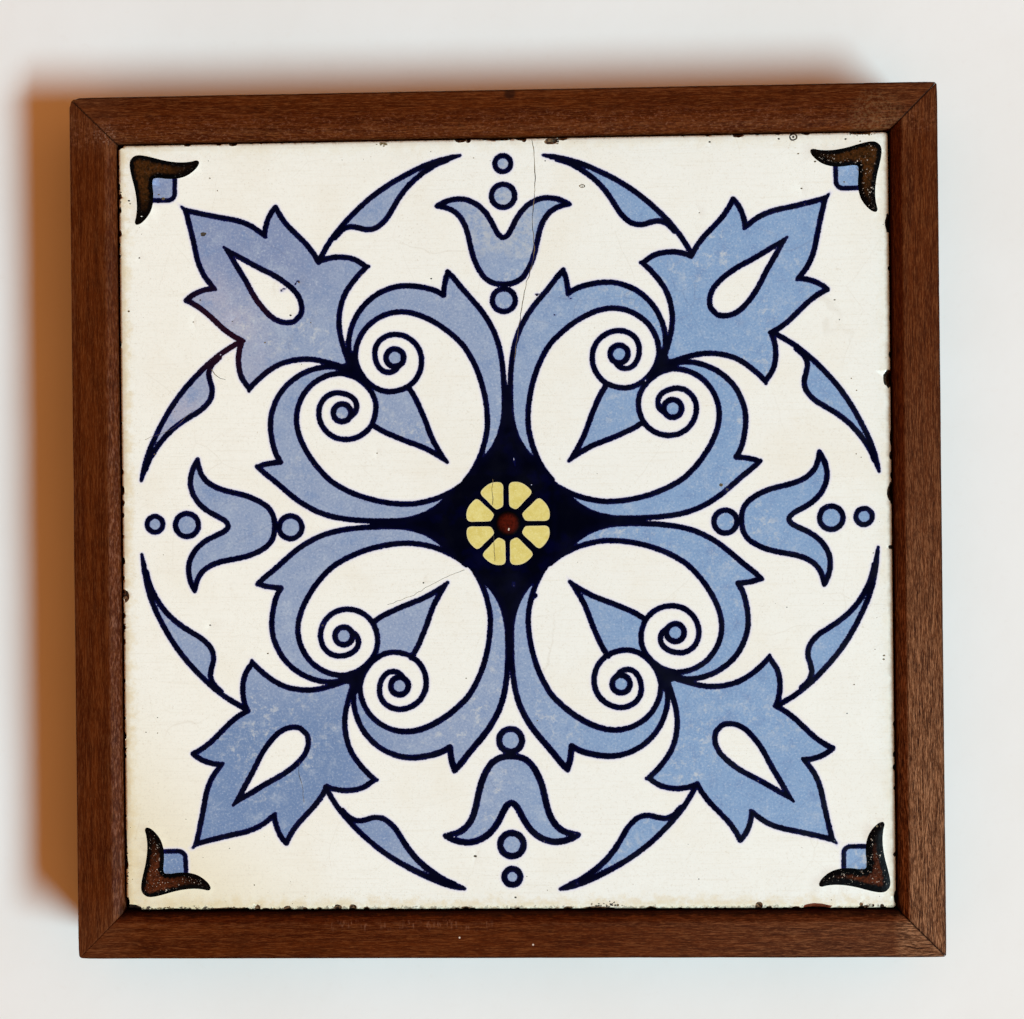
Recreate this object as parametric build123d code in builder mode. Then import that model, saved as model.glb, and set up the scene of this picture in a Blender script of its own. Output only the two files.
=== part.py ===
"""Framed ornamental wall tile: a dust-pressed glazed tile bedded in a mitred hardwood tray frame.

Millimetres. The origin is the centre of the frame's back plane, +Z points out of the glazed face,
+X to the right of the picture and +Y to its top. The object lies on its back on z = 0.
"""

import os

from build123d import *

# Tile
TILE_SIDE = 203.0
TILE_THICKNESS = 9.5
TILE_CORNER_RADIUS = 1.2
TILE_ARRIS_RADIUS = 0.9
TILE_BACK_CHAMFER = 0.5
KEY_RIB_PITCH = 14.0
KEY_GROOVE_WIDTH = 8.0
KEY_GROOVE_DEPTH = 1.5
KEY_RIB_MARGIN = 9.0

# Frame rails
TILE_TO_RAIL_GAP = 0.6
RAIL_FACE_WIDTH = 9.4
INNER_BEVEL_WIDTH = 2.0
INNER_BEVEL_HEIGHT = 1.8
BEVEL_TOE_ABOVE_TILE = 0.1
OUTER_ARRIS_RADIUS = 0.6
BACK_ARRIS_CHAMFER = 0.4
FRAME_CORNER_RADIUS = 1.2

# Backing board, let into a rebate in the back of the rails
BOARD_THICKNESS = 4.0
BOARD_SETBACK = 0.7
REBATE_WIDTH = 5.0
BOARD_EDGE_CLEARANCE = 0.3

# Worked out from the sizes above
OPENING_SIDE = TILE_SIDE + 2 * TILE_TO_RAIL_GAP
RAIL_WIDTH = INNER_BEVEL_WIDTH + RAIL_FACE_WIDTH
FRAME_SIDE = OPENING_SIDE + 2 * RAIL_WIDTH
REBATE_SIDE = OPENING_SIDE + 2 * REBATE_WIDTH
BOARD_SIDE = REBATE_SIDE - 2 * BOARD_EDGE_CLEARANCE
BOARD_TOP = BOARD_SETBACK + BOARD_THICKNESS
TILE_TOP = BOARD_TOP + TILE_THICKNESS
FRAME_DEPTH = TILE_TOP + BEVEL_TOE_ABOVE_TILE + INNER_BEVEL_HEIGHT
KEYED_SIDE = TILE_SIDE - 2 * KEY_RIB_MARGIN
KEY_GROOVE_COUNT = int((KEYED_SIDE - KEY_GROOVE_WIDTH) // KEY_RIB_PITCH) + 1


def make_tile():
    """One pressed slab: rounded glazed arrises above, parallel keying grooves in the clay back."""
    with BuildPart() as tile:
        with BuildSketch(Plane.XY.offset(BOARD_TOP)):
            RectangleRounded(TILE_SIDE, TILE_SIDE, TILE_CORNER_RADIUS)
        extrude(amount=TILE_THICKNESS)
        fillet(tile.faces().sort_by(Axis.Z)[-1].edges(), radius=TILE_ARRIS_RADIUS)
        chamfer(tile.faces().sort_by(Axis.Z)[0].edges(), length=TILE_BACK_CHAMFER)
        with BuildSketch(Plane.XY.offset(BOARD_TOP)):
            with GridLocations(KEY_RIB_PITCH, 0, KEY_GROOVE_COUNT, 1):
                SlotOverall(KEYED_SIDE, KEY_GROOVE_WIDTH, rotation=90)
        extrude(amount=KEY_GROOVE_DEPTH, mode=Mode.SUBTRACT)
    tile.part.label = "tile"
    return tile.part


def make_backing_board():
    """The thin panel that the tile is bedded on, seated against the shoulder of the rebate."""
    with BuildPart() as board:
        with BuildSketch(Plane.XY.offset(BOARD_SETBACK)):
            Rectangle(BOARD_SIDE, BOARD_SIDE)
        extrude(amount=BOARD_THICKNESS)
    board.part.label = "backing_board"
    return board.part


def make_top_rail():
    """One straight length of the rebated, bevelled profile, mitred at 45 degrees at both ends."""
    half = FRAME_SIDE / 2
    inner = OPENING_SIDE / 2
    rebate = REBATE_SIDE / 2
    with BuildPart() as rail:
        with BuildSketch(Plane.YZ.offset(-half)) as section:
            with BuildLine():
                Polyline(
                    (rebate, 0),
                    (half, 0),
                    (half, FRAME_DEPTH),
                    (inner + INNER_BEVEL_WIDTH, FRAME_DEPTH),
                    (inner, FRAME_DEPTH - INNER_BEVEL_HEIGHT),
                    (inner, BOARD_TOP),
                    (rebate, BOARD_TOP),
                    close=True,
                )
            make_face()
            back_corner, front_corner = section.vertices().group_by(Axis.X)[-1].sort_by(Axis.Y)
            fillet(front_corner, radius=OUTER_ARRIS_RADIUS)
            chamfer(back_corner, length=BACK_ARRIS_CHAMFER)
        extrude(amount=FRAME_SIDE)
        with BuildSketch(Plane.XY):
            with BuildLine():
                Polyline((0, 0), (half, half), (-half, half), close=True)
            make_face()
        extrude(amount=FRAME_DEPTH, mode=Mode.INTERSECT)
        with BuildSketch(Plane.XY):
            RectangleRounded(FRAME_SIDE, FRAME_SIDE, FRAME_CORNER_RADIUS)
        extrude(amount=FRAME_DEPTH, mode=Mode.INTERSECT)
    return rail.part


def make_rails():
    """The four equal rails, each a quarter turn from the last, meeting face to face at the mitres."""
    top_rail = make_top_rail()
    rails = []
    for turns, side in enumerate(("top", "left", "bottom", "right")):
        rail = top_rail.rotate(Axis.Z, 90 * turns)
        rail.label = f"frame_rail_{side}"
        rails.append(rail)
    return rails


def main():
    os.makedirs("parts", exist_ok=True)
    for piece in [make_tile(), make_backing_board(), *make_rails()]:
        export_step(piece, f"parts/{piece.label}.step")


main()
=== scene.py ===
"""Looks for a framed ornamental wall tile: a glazed face with drawn ornament, in a worn wooden tray frame.

Drawing work is in millimetres, seen from above, and is scaled to metres when a mesh is made.
Each motif of the ornament is drawn once, in its place at the top right, then mirrored and turned about
the centre, and each copy lies a little off its true place, as laid by hand.
"""

import math
import random

import bmesh
import bpy
import numpy as np
from mathutils import Matrix, Vector, noise
from mathutils.geometry import delaunay_2d_cdt
from mathutils.kdtree import KDTree


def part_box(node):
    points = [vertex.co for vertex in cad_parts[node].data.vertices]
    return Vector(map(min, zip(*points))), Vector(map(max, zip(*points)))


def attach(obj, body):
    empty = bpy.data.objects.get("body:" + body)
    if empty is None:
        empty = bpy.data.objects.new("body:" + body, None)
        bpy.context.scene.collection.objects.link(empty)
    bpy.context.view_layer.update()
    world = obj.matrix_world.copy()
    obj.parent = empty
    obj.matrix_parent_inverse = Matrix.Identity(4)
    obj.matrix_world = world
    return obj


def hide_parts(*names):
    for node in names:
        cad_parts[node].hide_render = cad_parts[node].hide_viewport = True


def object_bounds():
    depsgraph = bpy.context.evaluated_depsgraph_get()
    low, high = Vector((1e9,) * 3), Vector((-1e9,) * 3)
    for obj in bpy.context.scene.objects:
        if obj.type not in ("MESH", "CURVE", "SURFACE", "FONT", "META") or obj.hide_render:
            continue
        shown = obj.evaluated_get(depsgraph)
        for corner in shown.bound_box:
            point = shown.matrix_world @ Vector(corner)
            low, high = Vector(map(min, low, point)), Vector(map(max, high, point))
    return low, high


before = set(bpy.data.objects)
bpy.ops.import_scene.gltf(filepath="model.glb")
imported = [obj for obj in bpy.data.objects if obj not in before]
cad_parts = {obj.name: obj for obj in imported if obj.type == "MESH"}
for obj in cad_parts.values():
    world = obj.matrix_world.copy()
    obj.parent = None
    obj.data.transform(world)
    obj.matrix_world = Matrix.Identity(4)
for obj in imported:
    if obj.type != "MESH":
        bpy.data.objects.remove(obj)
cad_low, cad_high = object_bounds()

MM = 0.001
RANDOM = random.Random(1904)

# The tile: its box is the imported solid's, and its edges and back are as in the CAD
TILE_LOW, TILE_HIGH = (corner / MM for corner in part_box("tile"))
TILE_HALF = TILE_HIGH.x
FACE_DROP = 0.3  # how far the face sits below the solid's, to leave room for the enamel
TILE_TOP = TILE_HIGH.z - FACE_DROP
TILE_BOTTOM = TILE_LOW.z
TILE_CORNER_RADIUS = 1.2
TILE_ARRIS_RADIUS = 0.9
TILE_BACK_CHAMFER = 0.5
KEY_GROOVES = (14.0, 8.0, 1.5, 9.0)  # pitch, width, depth, plain margin
TILE_SHARP_ANGLE = 38
FAR_FROM_LINES = -9  # stands for the distance to the nearest line on the sides and back

# The rails, as in the CAD profile
FRAME_HALF = cad_high.x / MM
FRAME_DEPTH = cad_high.z / MM
TILE_TO_RAIL_GAP = 0.6
REBATE_WIDTH = 5.0
BOARD_TOP = 4.7
BEVEL_WIDTH = 2.0
BEVEL_HEIGHT = 1.8
BACK_CHAMFER = 0.4
RAIL_SHARP_ANGLE = 34
OPENING_HALF = TILE_HALF + TILE_TO_RAIL_GAP
REBATE_HALF = OPENING_HALF + REBATE_WIDTH
ARRISES = (FRAME_HALF, OPENING_HALF + BEVEL_WIDTH)

# The drawn line and the raised enamel
LINE = 0.70  # half width
STEP = 0.42  # spacing of points along a line
RAGGED = 0.075  # roughness of the edge of the colour
LINE_HEIGHT = 0.03
ENAMEL_HEIGHT = 0.30
ENAMEL_SHOULDER = 2.2  # how far in from its edge the enamel goes on rising

# How the pattern sits on the tile: a little off centre, stretched and turned
PATTERN_SHIFT = (0.92, 0.79)
PATTERN_STRETCH = (1.0023, 0.9977)
PATTERN_TURN = 0.002

# How far each hand-laid copy of a motif lies off its true place: right and up, and its turn in degrees.
# Copies run anticlockwise from the top or the top right, the plain ones first and then the mirrored ones.
LAID_OFF = {
    "palmette": [(-0.1, -0.5, 0.0), (0.0, -0.4, 0.3), (0.3, -0.4, 0.7), (-0.2, -0.4, -0.4)],
    "crescent": [
        (0.0, -0.4, 0.2), (0.1, -0.2, -0.7), (0.0, -0.2, -0.2), (0.0, -0.1, 0.7),
        (0.1, -0.3, 0.5), (-0.1, -0.3, 0.6), (-0.3, 0.3, -0.3), (-0.1, -0.2, 0.9),
    ],
    "scroll": [
        (0.4, -0.2, 0.8), (0.3, -0.3, -0.2), (0.3, 0.4, 0.6), (-0.1, -0.5, -0.3),
        (-0.1, -0.4, -0.3), (0.2, -0.2, -0.5), (0.0, -0.5, 0.1), (-0.2, 0.4, -0.8),
    ],
    "bud": [(0.3, -0.3, 0.1), (0.3, -0.1, -0.5), (0.0, -0.3, 0.4), (0.0, -0.4, -0.5)],
    "star": [(0.0, -0.3, 0.0)],
    "tulip": [(-0.2, 0.5, -0.3), (0.4, -0.4, -2.0), (0.0, -0.2, 0.0), (-0.8, -0.5, 1.4)],
    "petal": [
        (-0.3, -0.7, 0.0), (0.1, -0.8, 0.0), (0.0, -0.7, 0.0), (0.0, -0.7, 0.0),
        (0.1, -0.8, 0.0), (-0.4, -0.7, 0.0), (0.1, -0.7, 0.0), (-0.2, -0.7, 0.0),
    ],
    "bead": [(0.1, -0.7, 0.0)],
    "bracket": [(0.4, -0.3, 0.7), (-0.6, -0.1, -0.9), (0.0, -0.3, 0.9), (0.2, -0.1, -0.5)],
}

# How much longer, in millimetres, the brush drew the thin tip of each crescent, in the same order
TIP_LENGTHS = (0.0, -1.3, -2.0, 2.4, -1.3, -0.5, 2.5, -1.9)

# The colour areas, in the order of their materials
IVORY, BLUE, YELLOW, NAVY, BROWN, BISCUIT, STAIN = range(7)


# Curves

def ripple(x, y, z):
    """Smooth unevenness between about -1 and 1, the same each time."""
    return noise.noise(Vector((x, y, z)))


def with_width(points):
    """Points as rows of x, y and half width; a point without a width has the usual line's."""
    return np.array([q if len(q) == 3 else (*q, LINE) for q in points], float)


def directions(path):
    """Unit steps along a path and to its left, at each point."""
    forward = np.gradient(path[:, :2], axis=0)
    forward /= np.maximum(np.linalg.norm(forward, axis=1), 1e-9)[:, None]
    return forward, np.column_stack([-forward[:, 1], forward[:, 0]])


def ring_edges(first, count):
    """The edges of a closed loop of points that are numbered one after another."""
    return [(first + i, first + (i + 1) % count) for i in range(count)]


def doubled_areas(points, triangles):
    """Twice each triangle's area in plan, negative where it runs clockwise."""
    a, b, c = (points[triangles[:, i]] for i in range(3))
    return (b[:, 0] - a[:, 0]) * (c[:, 1] - a[:, 1]) - (b[:, 1] - a[:, 1]) * (c[:, 0] - a[:, 0])


def spline(points, closed=False, step=STEP):
    """A smooth curve through points (x, y[, half width]), sampled every step millimetres."""
    p = with_width(points)
    if closed:
        p = np.vstack([p[-1], p, p[0], p[1]])
    else:
        p = np.vstack([2 * p[0] - p[1], p, 2 * p[-1] - p[-2]])
        p[0, 2], p[-1, 2] = p[1, 2], p[-2, 2]
    knots = np.sqrt(np.maximum(np.linalg.norm(np.diff(p[:, :2], axis=0), axis=1), 1e-6))
    pieces = []
    for i in range(1, len(p) - 2):
        a, b, c = knots[i - 1], knots[i], knots[i + 1]
        tangent_in = (p[i] - p[i - 1]) / a - (p[i + 1] - p[i - 1]) / (a + b) + (p[i + 1] - p[i]) / b
        tangent_out = (p[i + 1] - p[i]) / b - (p[i + 2] - p[i]) / (b + c) + (p[i + 2] - p[i + 1]) / c
        count = max(1, round(float(np.linalg.norm(p[i + 1, :2] - p[i, :2])) / step))
        t = (np.arange(count) / count)[:, None]
        pieces.append(
            (2 * t**3 - 3 * t**2 + 1) * p[i]
            + (t**3 - 2 * t**2 + t) * b * tangent_in
            + (3 * t**2 - 2 * t**3) * p[i + 1]
            + (t**3 - t**2) * b * tangent_out
        )
    if not closed:
        pieces.append(p[-2][None])
    return np.vstack(pieces)


def arc(centre, radius, start, end, half_width=LINE):
    """Part of a circle as a path; angles in degrees."""
    count = max(6, round(abs(math.radians(end - start)) * radius / STEP))
    angles = np.radians(np.linspace(start, end, count + 1))
    x = centre[0] + radius * np.cos(angles)
    y = centre[1] + radius * np.sin(angles)
    return np.column_stack([x, y, np.full(len(x), half_width)])


def spike(start, end, half_width=0.66, tip=0.46):
    """The short blunt taper that a brush leaves where two lines meet in a point."""
    return spline([(*start, half_width), (*end, tip)])


def over_diagonal(path):
    """The mirror image of a path across the diagonal through the top right corner."""
    return path[:, [1, 0, *range(2, path.shape[1])]]


def over_axis(path):
    """The mirror image of a path across the upward axis."""
    return path * ([-1, 1] + [1] * (path.shape[1] - 2))


def unfold(points, mirror):
    """A symmetrical run of points from its first half, which ends on the mirror line."""
    half = with_width(points)
    return np.vstack([half, mirror(half)[-2::-1]])


def outline_of(path):
    """The closed edge of a line of varying width, ragged as on a worn stencil, with rounded ends."""
    forward, side = directions(path)
    edges = []
    for sign in (1, -1):
        ragged = [
            ripple(x * 0.9, y * 0.9, 9 * sign) + 0.9 * ripple(x * 2.7, y * 2.7, 4 * sign) for x, y, _ in path
        ]
        width = path[:, 2] + RAGGED * np.array(ragged) * np.minimum(1, path[:, 2] / 0.5)
        edges.append(path[:, :2] + sign * side * np.maximum(width, 0.05)[:, None])
    caps = []
    for point, along, across, half in (
        (path[-1, :2], forward[-1], side[-1], path[-1, 2]),
        (path[0, :2], -forward[0], -side[0], path[0, 2]),
    ):
        turn = np.radians((120, 60)) if half < 0.3 else np.radians((150, 120, 90, 60, 30))
        caps.append(point + half * (np.outer(np.sin(turn), along) - np.outer(np.cos(turn), across)))
    return np.vstack([edges[0], caps[0], edges[1][::-1], caps[1]])


# The ornament. Each motif gives its fields and its lines, and is laid on the tile in its number of copies.

def palmette():
    """The spiky leaf on the diagonal, with its pale drop: four copies."""
    runs = [
        [(84.0, 84.0), (80.0, 83.0), (75.0, 81.9), (70.0, 80.8), (66.5, 79.3), (63.1, 76.8)],
        [(63.1, 76.8), (62.8, 79.0), (62.0, 81.4), (61.1, 83.0), (60.1, 84.2)],
        [
            (60.1, 84.2), (58.9, 82.0), (57.2, 79.6), (54.7, 76.9), (52.2, 74.3), (50.3, 71.8), (49.0, 69.5),
        ],
        [(49.0, 69.5), (47.0, 70.2), (44.5, 70.6), (41.8, 70.5), (39.2, 69.8), (36.3, 67.9)],
        [
            (36.3, 67.9), (38.6, 65.6), (40.8, 62.9), (42.5, 60.0), (43.5, 56.6), (43.85, 53.0),
            (43.5, 49.8), (42.7, 46.6), (41.7, 43.4), (41.2, 41.2),
        ],
    ]
    side = [spline(run) for run in runs]
    drop = [
        (74.0, 74.0, 0.35), (72.2, 72.6, 0.6), (70.0, 71.3), (65.0, 68.4), (60.5, 66.0), (57.3, 63.7),
        (55.0, 61.4), (53.9, 59.3), (53.6, 57.4), (53.9, 55.7), (54.75, 54.75),
    ]
    drop = spline(unfold(drop, over_diagonal))
    tips = [
        spike((60.1, 84.2), (60.0, 84.3), 0.7, 0.62),
        spike((36.3, 67.9), (35.7, 68.0)),
        spike((49.0, 69.5), (49.0, 69.1)),
        spike((63.1, 76.8), (62.8, 76.4)),
    ]
    half = side + tips
    point = spike((84.0, 84.0), (84.9, 85.0), tip=0.36)
    lines = [*half, *(over_diagonal(line) for line in half), drop, point]
    edge = np.vstack(side)
    return 4, [(np.vstack([edge, over_diagonal(edge)[::-1]]), BLUE), (drop, IVORY)], lines


def crescent():
    """The sickle that runs from the palmette's notch towards the axis, with its narrow blue field."""
    back = [
        (10.6, 96.7, 0.42), (12.5, 96.3, 0.66), (16.0, 95.5, 0.8), (20.0, 94.4), (25.0, 92.2),
        (30.0, 89.5), (35.0, 86.1), (40.0, 81.7), (43.5, 78.0), (46.2, 74.5), (48.2, 71.2), (49.0, 69.8),
    ]
    belly = [
        (14.0, 95.4, 0.5), (17.0, 94.6), (20.0, 92.95), (22.6, 91.1), (25.0, 88.9), (27.2, 86.2),
        (29.0, 83.4), (30.5, 81.0), (32.2, 79.2), (34.0, 78.1), (36.2, 77.85), (38.4, 78.4),
        (40.5, 78.7), (42.6, 77.9), (44.6, 75.9),
    ]
    back_line = spline(back)
    belly_line = spline(belly)
    field = np.vstack([belly_line, spline(back[2:10])[::-1]])
    return 8, [(field, BLUE)], [back_line, belly_line]


# The two edges of the curling leaf, which the dark star in the middle shares
LEAF_INNER = [
    (39.9, 43.0), (39.75, 45.2), (39.3, 47.4), (38.3, 49.6), (36.9, 51.6), (35.0, 53.3), (32.6, 54.7),
    (30.0, 55.5), (27.2, 55.7), (24.0, 55.15), (20.5, 53.75), (17.2, 51.8), (14.1, 49.4), (11.4, 46.7),
    (9.4, 43.6), (7.8, 40.2), (6.5, 36.4), (5.6, 32.4), (5.15, 28.6), (5.15, 25.0), (5.7, 21.8),
    (6.6, 18.6), (7.8, 15.8), (9.2, 13.3), (11.0, 11.0),
]
LEAF_OUTER = [
    (15.3, 66.0), (13.9, 64.6), (11.9, 62.1), (10.0, 59.9), (7.9, 57.5), (5.9, 54.9), (4.3, 52.3),
    (3.0, 49.6), (2.1, 46.9), (1.5, 44.2), (1.0, 40.5), (0.75, 36.5), (0.65, 32.0), (0.8, 28.0),
    (1.35, 25.0), (2.25, 22.2), (3.4, 20.0), (4.8, 18.0), (6.4, 16.3),
]


def scroll():
    """The curling leaf and the volute inside it."""
    inner = spline(LEAF_INNER)
    outer = spline(LEAF_OUTER)
    barb = spline([(15.3, 66.0), (15.95, 64.2), (16.3, 62.2), (16.5, 60.0)])
    crown = [
        (16.5, 60.0), (18.2, 61.0), (20.3, 61.75), (23.0, 62.3), (26.0, 62.6), (29.0, 62.35), (32.0, 61.4),
        (34.8, 59.9), (37.2, 57.8), (39.2, 55.2), (40.6, 52.3), (41.4, 49.4), (41.6, 46.6), (41.3, 44.0),
        (40.8, 42.0),
    ]
    volute = [
        (28.2, 41.5, 0.6), (29.3, 40.3), (30.8, 39.75), (32.5, 40.1), (33.9, 41.6), (34.65, 43.9),
        (34.5, 46.2), (33.4, 48.1), (31.4, 49.4), (29.0, 49.75), (26.5, 49.15), (24.3, 47.6), (22.85, 45.4),
        (22.35, 42.9), (22.7, 40.3), (23.9, 37.9), (25.9, 36.0), (28.3, 35.0), (30.9, 34.65), (33.2, 35.05),
        (35.3, 36.15), (37.3, 38.0), (38.8, 40.2), (39.6, 42.5), (39.9, 44.0),
    ]
    crown, volute = spline(crown), spline(volute)
    eye = arc((29.4, 43.6), 2.32, 0, 360, 0.74)
    leaf = np.vstack([outer, inner[::-1], crown[::-1], barb[::-1]])
    tip = spike((15.3, 66.0), (15.45, 66.3), 0.7, 0.58)
    return 8, [(leaf, BLUE), (eye, BLUE)], [inner, outer, barb, crown, volute, eye, tip]


def bud():
    """The arrow-shaped bud between two volutes, and the knot of lines behind it."""
    side = [
        (25.9, 35.6), (24.3, 33.0), (23.1, 30.4), (21.9, 27.6), (20.8, 24.6), (19.7, 21.9), (18.3, 19.3),
        (17.0, 17.3, 0.62), (15.9, 15.9, 0.46),
    ]
    edge = spline(side)
    top = np.array([(28.3, 35.0, 0), (30.9, 34.7, 0), (33.3, 35.1, 0), (35.6, 35.6, 0)])[::-1]
    field = np.vstack([top, edge])
    knot = [(35.8, 35.8), (38.2, 38.8), (39.4, 41.0), (40.1, 44.6), (40.8, 45.4), (41.8, 44.4), (42.4, 42.4)]
    knot = with_width(knot)
    both = [(half, over_diagonal(half)[::-1]) for half in (field, knot)]
    fields = [(np.vstack(halves), glaze) for halves, glaze in zip(both, (BLUE, NAVY))]
    return 4, fields, [edge, over_diagonal(edge)]


def star():
    """The dark four-pointed field in the middle: one copy."""
    outer, inner = spline(LEAF_OUTER), spline(LEAF_INNER)
    eighth = np.vstack([[(0, 36.5, 0)], outer[outer[:, 1] < 36.5], inner[inner[:, 1] < 15.9]])
    quarter = np.vstack([eighth, over_diagonal(eighth)[::-1]])
    turned = []
    for _ in range(4):
        turned.append(quarter)
        quarter = np.column_stack([quarter[:, 1], -quarter[:, 0], quarter[:, 2]])
    return 1, [(np.vstack(turned), NAVY)], []


def tulip():
    """The flower on the axis, and its three pearls."""
    top = [
        (17.2, 82.8), (15.3, 83.8), (13.1, 84.4), (10.8, 84.5), (8.6, 83.9), (6.5, 82.7), (4.7, 80.9),
        (3.3, 78.8), (2.2, 76.6), (1.15, 74.9), (0.0, 74.2),
    ]
    bottom = [
        (17.2, 82.8), (15.4, 82.4), (13.4, 81.6), (11.7, 80.2), (10.4, 78.2), (9.5, 75.8), (8.9, 73.2),
        (8.3, 70.5), (7.5, 68.0), (6.4, 65.7), (4.9, 63.6), (2.8, 62.3), (0.0, 61.9),
    ]
    top, bottom = spline(unfold(top, over_axis)), spline(unfold(bottom, over_axis))
    sizes = ((93.7, 2.1, 0.66), (85.2, 3.05, 0.7), (57.7, 3.0, 0.7))
    pearls = [arc((0, y), radius, 0, 360, half) for y, radius, half in sizes]
    tip = spike((17.2, 82.8), (17.5, 82.75), 0.7, 0.55)
    fields = [(shape, BLUE) for shape in (np.vstack([top, bottom[::-1]]), *pearls)]
    return 4, fields, [top, bottom, *pearls, tip, over_axis(tip)]


def petal():
    """One of the eight yellow petals round the bead."""
    edge = [
        (0.72, 5.4), (0.7, 8.0), (0.75, 10.1), (1.25, 10.75), (2.6, 10.95), (4.0, 10.65), (5.4, 9.8),
        (6.6, 8.4), (6.45, 7.65), (5.0, 6.1), (3.2, 4.2), (2.5, 3.75), (1.5, 4.1), (0.85, 4.6),
    ]
    return 8, [(spline(edge, closed=True), YELLOW)], []


def bead():
    """The raised brown bead in the middle."""
    return 1, [(arc((0, 0), 3.3, 0, 360)[:-1], BROWN)], []


def bracket():
    """The raised brown corner piece, with the small blue square in its angle."""
    body = [
        (92.0, 92.0), (90.8, 92.25), (88.2, 92.0), (85.6, 92.1), (83.2, 92.8), (81.3, 94.1), (80.1, 95.5),
        (79.85, 96.5), (80.4, 96.9), (82.0, 96.6), (84.0, 96.4), (86.5, 96.5), (89.5, 97.0), (92.2, 97.7),
        (94.4, 98.2), (96.0, 98.35), (97.0, 98.15), (97.65, 97.65),
    ]
    body = spline(unfold(body, over_diagonal)[:-1], closed=True)
    run = spline([(86.3, 92.3, 0.6), (86.3, 88.3, 0.6)])
    border = np.vstack([run, arc((88.2, 88.2), 1.9, 180, 270, 0.6)[1:-1], over_diagonal(run)[::-1]])
    square = np.vstack([border, [(92.3, 92.3, 0)]])
    return 4, [(square, BLUE), (body, BROWN)], [border]


# The painted face

class Face:
    """Closed outlines in painting order, and loose points that refine the mesh near them."""

    def __init__(self):
        self.outlines = []
        self.loose = []

    def paint(self, outline, glaze):
        self.outlines.append((np.asarray(outline, float)[:, :2], glaze))

    def refine(self, points):
        self.loose.append(np.asarray(points, float)[:, :2])


def copies_of(points, middle, number, offsets, tips):
    """A path laid once, in four quarter turns, or in four turns both plain and mirrored."""
    for index in range(number):
        path = np.vstack([drawn_out(points, tips[index]), [(*middle, 0)]])
        if index >= 4:
            path = over_diagonal(path)
        for _ in range(index % 4):
            path = np.column_stack([-path[:, 1], path[:, 0], path[:, 2]])
        yield laid_by_hand(path, *offsets[index])[:-1]


def drawn_out(path, longer):
    """A crescent's path with its tip, which points towards the axis, drawn longer or cut shorter."""
    drawn = path.copy()
    drawn[:, 0] -= longer * np.clip((24.0 - path[:, 0]) / 13.4, 0, 1) ** 2
    return drawn


def pen_weight(path):
    """How much thicker than usual the line is drawn: it is heaviest round the lowest flower."""
    low = np.clip((-path[:, 1] - 35) / 30, 0, 1)
    near_axis = np.clip((32 - np.abs(path[:, 0])) / 12, 0, 1)
    return 1.02 + 0.2 * low * near_axis


def laid_by_hand(path, right, up, turn):
    """A path put where it is on the tile; its last point is the middle that the copy is turned about."""
    middle = path[-1, :2]
    cosine, sine = math.cos(math.radians(turn)), math.sin(math.radians(turn))
    x, y = (path[:, :2] - middle).T
    x, y = ((np.column_stack([x * cosine - y * sine, x * sine + y * cosine]) + middle) * PATTERN_STRETCH).T
    placed = path.copy()
    placed[:, :2] = np.column_stack([x - PATTERN_TURN * y + right, y + PATTERN_TURN * x + up]) + PATTERN_SHIFT
    return placed


def lay_out_ornament(face):
    """Paints the blue and dark fields, then the lines over their edges, then the petals and the enamel."""
    order = {BLUE: 0, IVORY: 1, NAVY: 2, YELLOW: 4, BROWN: 5}
    jobs = []
    for motif in (palmette, crescent, scroll, bud, star, tulip, petal, bead, bracket):
        number, fields, lines = motif()
        everything = np.vstack([outline for outline, _ in fields] + lines)[:, :2]
        tips = TIP_LENGTHS if motif is crescent else (0.0,) * number
        place = ((everything.min(0) + everything.max(0)) / 2, number, LAID_OFF[motif.__name__], tips)
        jobs += [(order[glaze], place, outline, glaze) for outline, glaze in fields]
        jobs += [(3, place, line, None) for line in lines]
    for _, place, shape, glaze in sorted(jobs, key=lambda job: job[0]):
        for placed in copies_of(shape, *place):
            if glaze is None:
                placed[:, 2] *= pen_weight(placed)
                face.paint(outline_of(placed), NAVY)
                refine_line(face, placed)
            else:
                face.paint(placed, glaze)
            if glaze == YELLOW:
                middle = placed[:, :2].mean(0)
                for share in (0.72, 0.88, 1.1):
                    face.refine(middle + share * (placed[::2, :2] - middle))


def refine_line(face, path):
    """Points along the middle of a line and beside it, to carry the blue bleed at its edges."""
    if len(path) < 4:
        return
    _, side = directions(path)
    face.refine(path[::2])
    for reach, stride in ((0.28, 1), (0.8, 2)):
        for sign in (1, -1):
            face.refine((path[:, :2] + sign * side * (path[:, 2] + reach)[:, None])[::stride])


def inside(outline, points):
    """Which points are inside a closed outline, by winding number."""
    found = np.zeros(len(points), bool)
    low, high = outline.min(0), outline.max(0)
    near = np.nonzero(((points >= low) & (points <= high)).all(1))[0]
    x0, y0 = outline.T
    x1, y1 = np.roll(outline, -1, axis=0).T
    for part in np.array_split(near, max(1, len(near) * len(outline) // 2_000_000 + 1)):
        px, py = points[part, 0][:, None], points[part, 1][:, None]
        left = (x1 - x0) * (py - y0) - (px - x0) * (y1 - y0)
        up = (y0 <= py) & (y1 > py) & (left > 0)
        down = (y1 <= py) & (y0 > py) & (left < 0)
        found[part] = (up.sum(1) - down.sum(1)) != 0
    return found


def tile_edge(inset=0.0, step=0.6):
    """The tile's plan outline, anticlockwise, at a distance inside its edge."""
    half = TILE_HALF - inset
    radius = max(TILE_CORNER_RADIUS - inset, 0.15)
    straight = half - radius
    run = [(half, y) for y in np.linspace(-straight, straight, round(2 * straight / step) + 1)]
    turns = np.radians((22.5, 45, 67.5))
    corner = [(straight + radius * math.cos(a), straight + radius * math.sin(a)) for a in turns]
    points = []
    for quarter in range(4):
        cosine, sine = math.cos(math.radians(90 * quarter)), math.sin(math.radians(90 * quarter))
        for x, y in run + corner:
            points.append((x * cosine - y * sine, x * sine + y * cosine))
    return np.array(points)


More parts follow.
